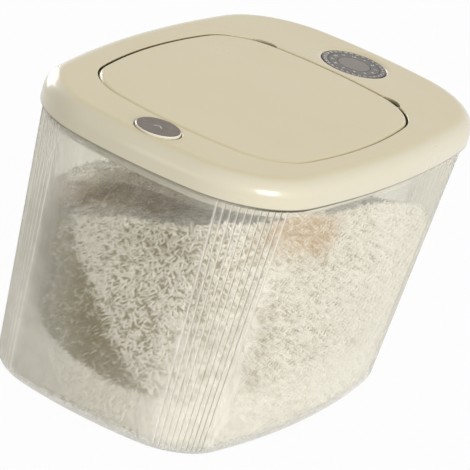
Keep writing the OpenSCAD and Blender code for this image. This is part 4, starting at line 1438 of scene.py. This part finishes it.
@dataclass
class DateDial:
    """The date dial: a ring of days, a ring of months and a plain middle."""

    centre_y: float = 122.0
    face: float = 205.0
    day_r: float = 20.6
    month_r: float = 15.1
    print_height: float = 0.14
    sign: Mark = Mark("numeral_pale", (226, 224, 218))

    def build(self) -> None:
        """Dresses the discs and sets the numerals on the rings."""
        spot = (0, self.centre_y * MM, 0)
        ring_metal = BrushedMetal("dial_ring_metal", (128, 122, 118), (96, 91, 88), Brush.ROUND, spot, 0.38)
        cap_metal = BrushedMetal(
            "dial_cap_metal", (142, 136, 126), (116, 110, 102), Brush.ROUND, spot, 0.36)
        dress_nodes(["day_ring", "month_ring"], ring_metal.material())
        dress_nodes(["dial_cap"], cap_metal.material())
        ink = self.sign.material()
        settle(self.numerals("day_numerals", 31, self.day_r, 1.9), Body.DAY, ink)
        settle(self.numerals("month_numerals", 12, self.month_r, 2.6), Body.MONTH, ink)

    def numerals(self, name: str, count: int, radius: float, size: float) -> Piece:
        """The numbers from 1 round a ring, standing up from its face.

        Args:
            name: the piece's name.
            count: the last number.
            radius: where the numbers stand, in millimetres.
            size: their height in millimetres.

        Returns:
            The piece.
        """
        made = []
        for number in range(1, count + 1):
            alone()
            bpy.ops.object.text_add()
            text = bpy.context.active_object
            text.data.body = str(number)
            text.data.size = size * 1.35 * MM
            text.data.align_x = "CENTER"
            text.data.align_y = "CENTER"
            text.data.extrude = self.print_height / 2 * MM
            text.data.offset = 0.03 * MM
            text.data.resolution_u = 2
            bpy.ops.object.convert(target="MESH")
            turn = 2 * math.pi * (number - 1) / count
            z = self.face + self.print_height / 2 - 0.02
            place = Matrix.Translation((0, self.centre_y * MM, z * MM))
            place = place @ Matrix.Rotation(-turn, 4, "Z") @ Matrix.Translation((0, radius * MM, 0))
            text.data.transform(place)
            made.append(text)
        pick(made[0])
        for text in made:
            text.select_set(True)
        bpy.ops.object.join()
        obj = bpy.context.active_object
        obj.name = obj.data.name = name
        return obj


@dataclass(frozen=True)
class SoftBox:
    """A square soft box that looks at the object, with its place in degrees and metres."""

    name: str
    azimuth: float
    elevation: float
    size: float
    power: float
    distance: float = 2.6
    colour: tuple[float, float, float] = (1, 1, 1)


@dataclass
class Studio:
    """The plain floor, the soft lamps and the camera."""

    azimuth: float = 25.1147
    elevation: float = 21.1096
    roll: float = 16.3302
    lens: float = 321.667
    distance: float = 2.7885
    target: tuple[float, float, float] = (0.01779, -0.02308, 0.11330)
    ambient: float = 0.62
    lamps: tuple[SoftBox, ...] = (
        SoftBox("key", azimuth=70, elevation=17, size=1.0, power=36, colour=(0.985, 0.995, 1.03)),
        SoftBox("fill", azimuth=-12, elevation=9, size=1.2, power=4.5),
        SoftBox("back", azimuth=238, elevation=11, size=1.2, power=18))

    def build(self) -> None:
        """Sets the whole studio up."""
        self.camera()
        self.floor()
        self.world()
        for box in self.lamps:
            self.lamp(box)
        bpy.context.scene.view_settings.view_transform = "Standard"

    def directions(self, azimuth: float, elevation: float) -> tuple[Vector, Vector, Vector]:
        """Right, up and back of a camera without roll."""
        a, e = math.radians(azimuth), math.radians(elevation)
        back = Vector((math.sin(a) * math.cos(e), -math.cos(a) * math.cos(e), math.sin(e)))
        right = Vector((math.cos(a), math.sin(a), 0))
        return right, back.cross(right), back

    def camera(self) -> None:
        """The camera at the photograph's angle."""
        right, up, back = self.directions(self.azimuth, self.elevation)
        turn = math.radians(self.roll)
        across = right * math.cos(turn) + up * math.sin(turn)
        upward = up * math.cos(turn) - right * math.sin(turn)
        data = bpy.data.cameras.new("camera")
        data.sensor_width, data.lens = 36.0, self.lens
        data.clip_start, data.clip_end = 0.05, 50.0
        cam = bpy.data.objects.new("camera", data)
        place = Matrix((across, upward, back)).transposed().to_4x4()
        place.translation = Vector(self.target) + back * self.distance
        cam.matrix_world = place
        bpy.context.scene.collection.objects.link(cam)
        bpy.context.scene.camera = cam

    def floor(self) -> None:
        """A pale floor that looks white to the eye and keeps a soft shadow."""
        alone()
        bpy.ops.mesh.primitive_plane_add(size=24, location=(0, 0, -0.0002))
        obj = bpy.context.active_object
        obj.name = "floor"
        g = Graph("floor_white")
        matt = g.node("ShaderNodeBsdfDiffuse", {"Color": (0.72, 0.72, 0.71, 1)})
        white = g.node("ShaderNodeEmission", {"Color": (1, 1, 1, 1), "Strength": 1.0})
        dress(obj, g.finish(g.mix(g.sums("MULTIPLY", g.plain_sight(), 0.96), matt, white)))

    def world(self) -> None:
        """White to the eye and in reflections, and a plain dome of light elsewhere."""
        g = Graph("studio", world=True)
        dome = g.node("ShaderNodeBackground", {0: (1.0, 0.985, 0.955, 1), 1: self.ambient})
        white = g.node("ShaderNodeBackground", {0: (1, 1, 1, 1), 1: 1.0})
        bpy.context.scene.world = g.finish(g.mix(g.plain_sight(), dome, white))

    def lamp(self, box: SoftBox) -> None:
        """Sets up a soft box.

        Args:
            box: its place, size and light.
        """
        right, up, back = self.directions(box.azimuth, box.elevation)
        data = bpy.data.lights.new(box.name, "AREA")
        data.shape, data.size, data.energy, data.color = "SQUARE", box.size, box.power, box.colour
        lamp = bpy.data.objects.new(box.name, data)
        place = Matrix((right, up, back)).transposed().to_4x4()
        place.translation = Vector((0, 0, 0.1)) + back * box.distance
        lamp.matrix_world = place
        bpy.context.scene.collection.objects.link(lamp)


def main() -> None:
    """Builds the studio and every sub-assembly in order."""
    logging.basicConfig(level=logging.INFO, format="%(name)s %(message)s")
    Studio().build()
    tub = Tub()
    tub.build()
    RiceHeap(tub).build()
    Lid().build()
    Flap().build()
    PushButton().build()
    DateDial().build()


if __name__ == "__main__":
    main()
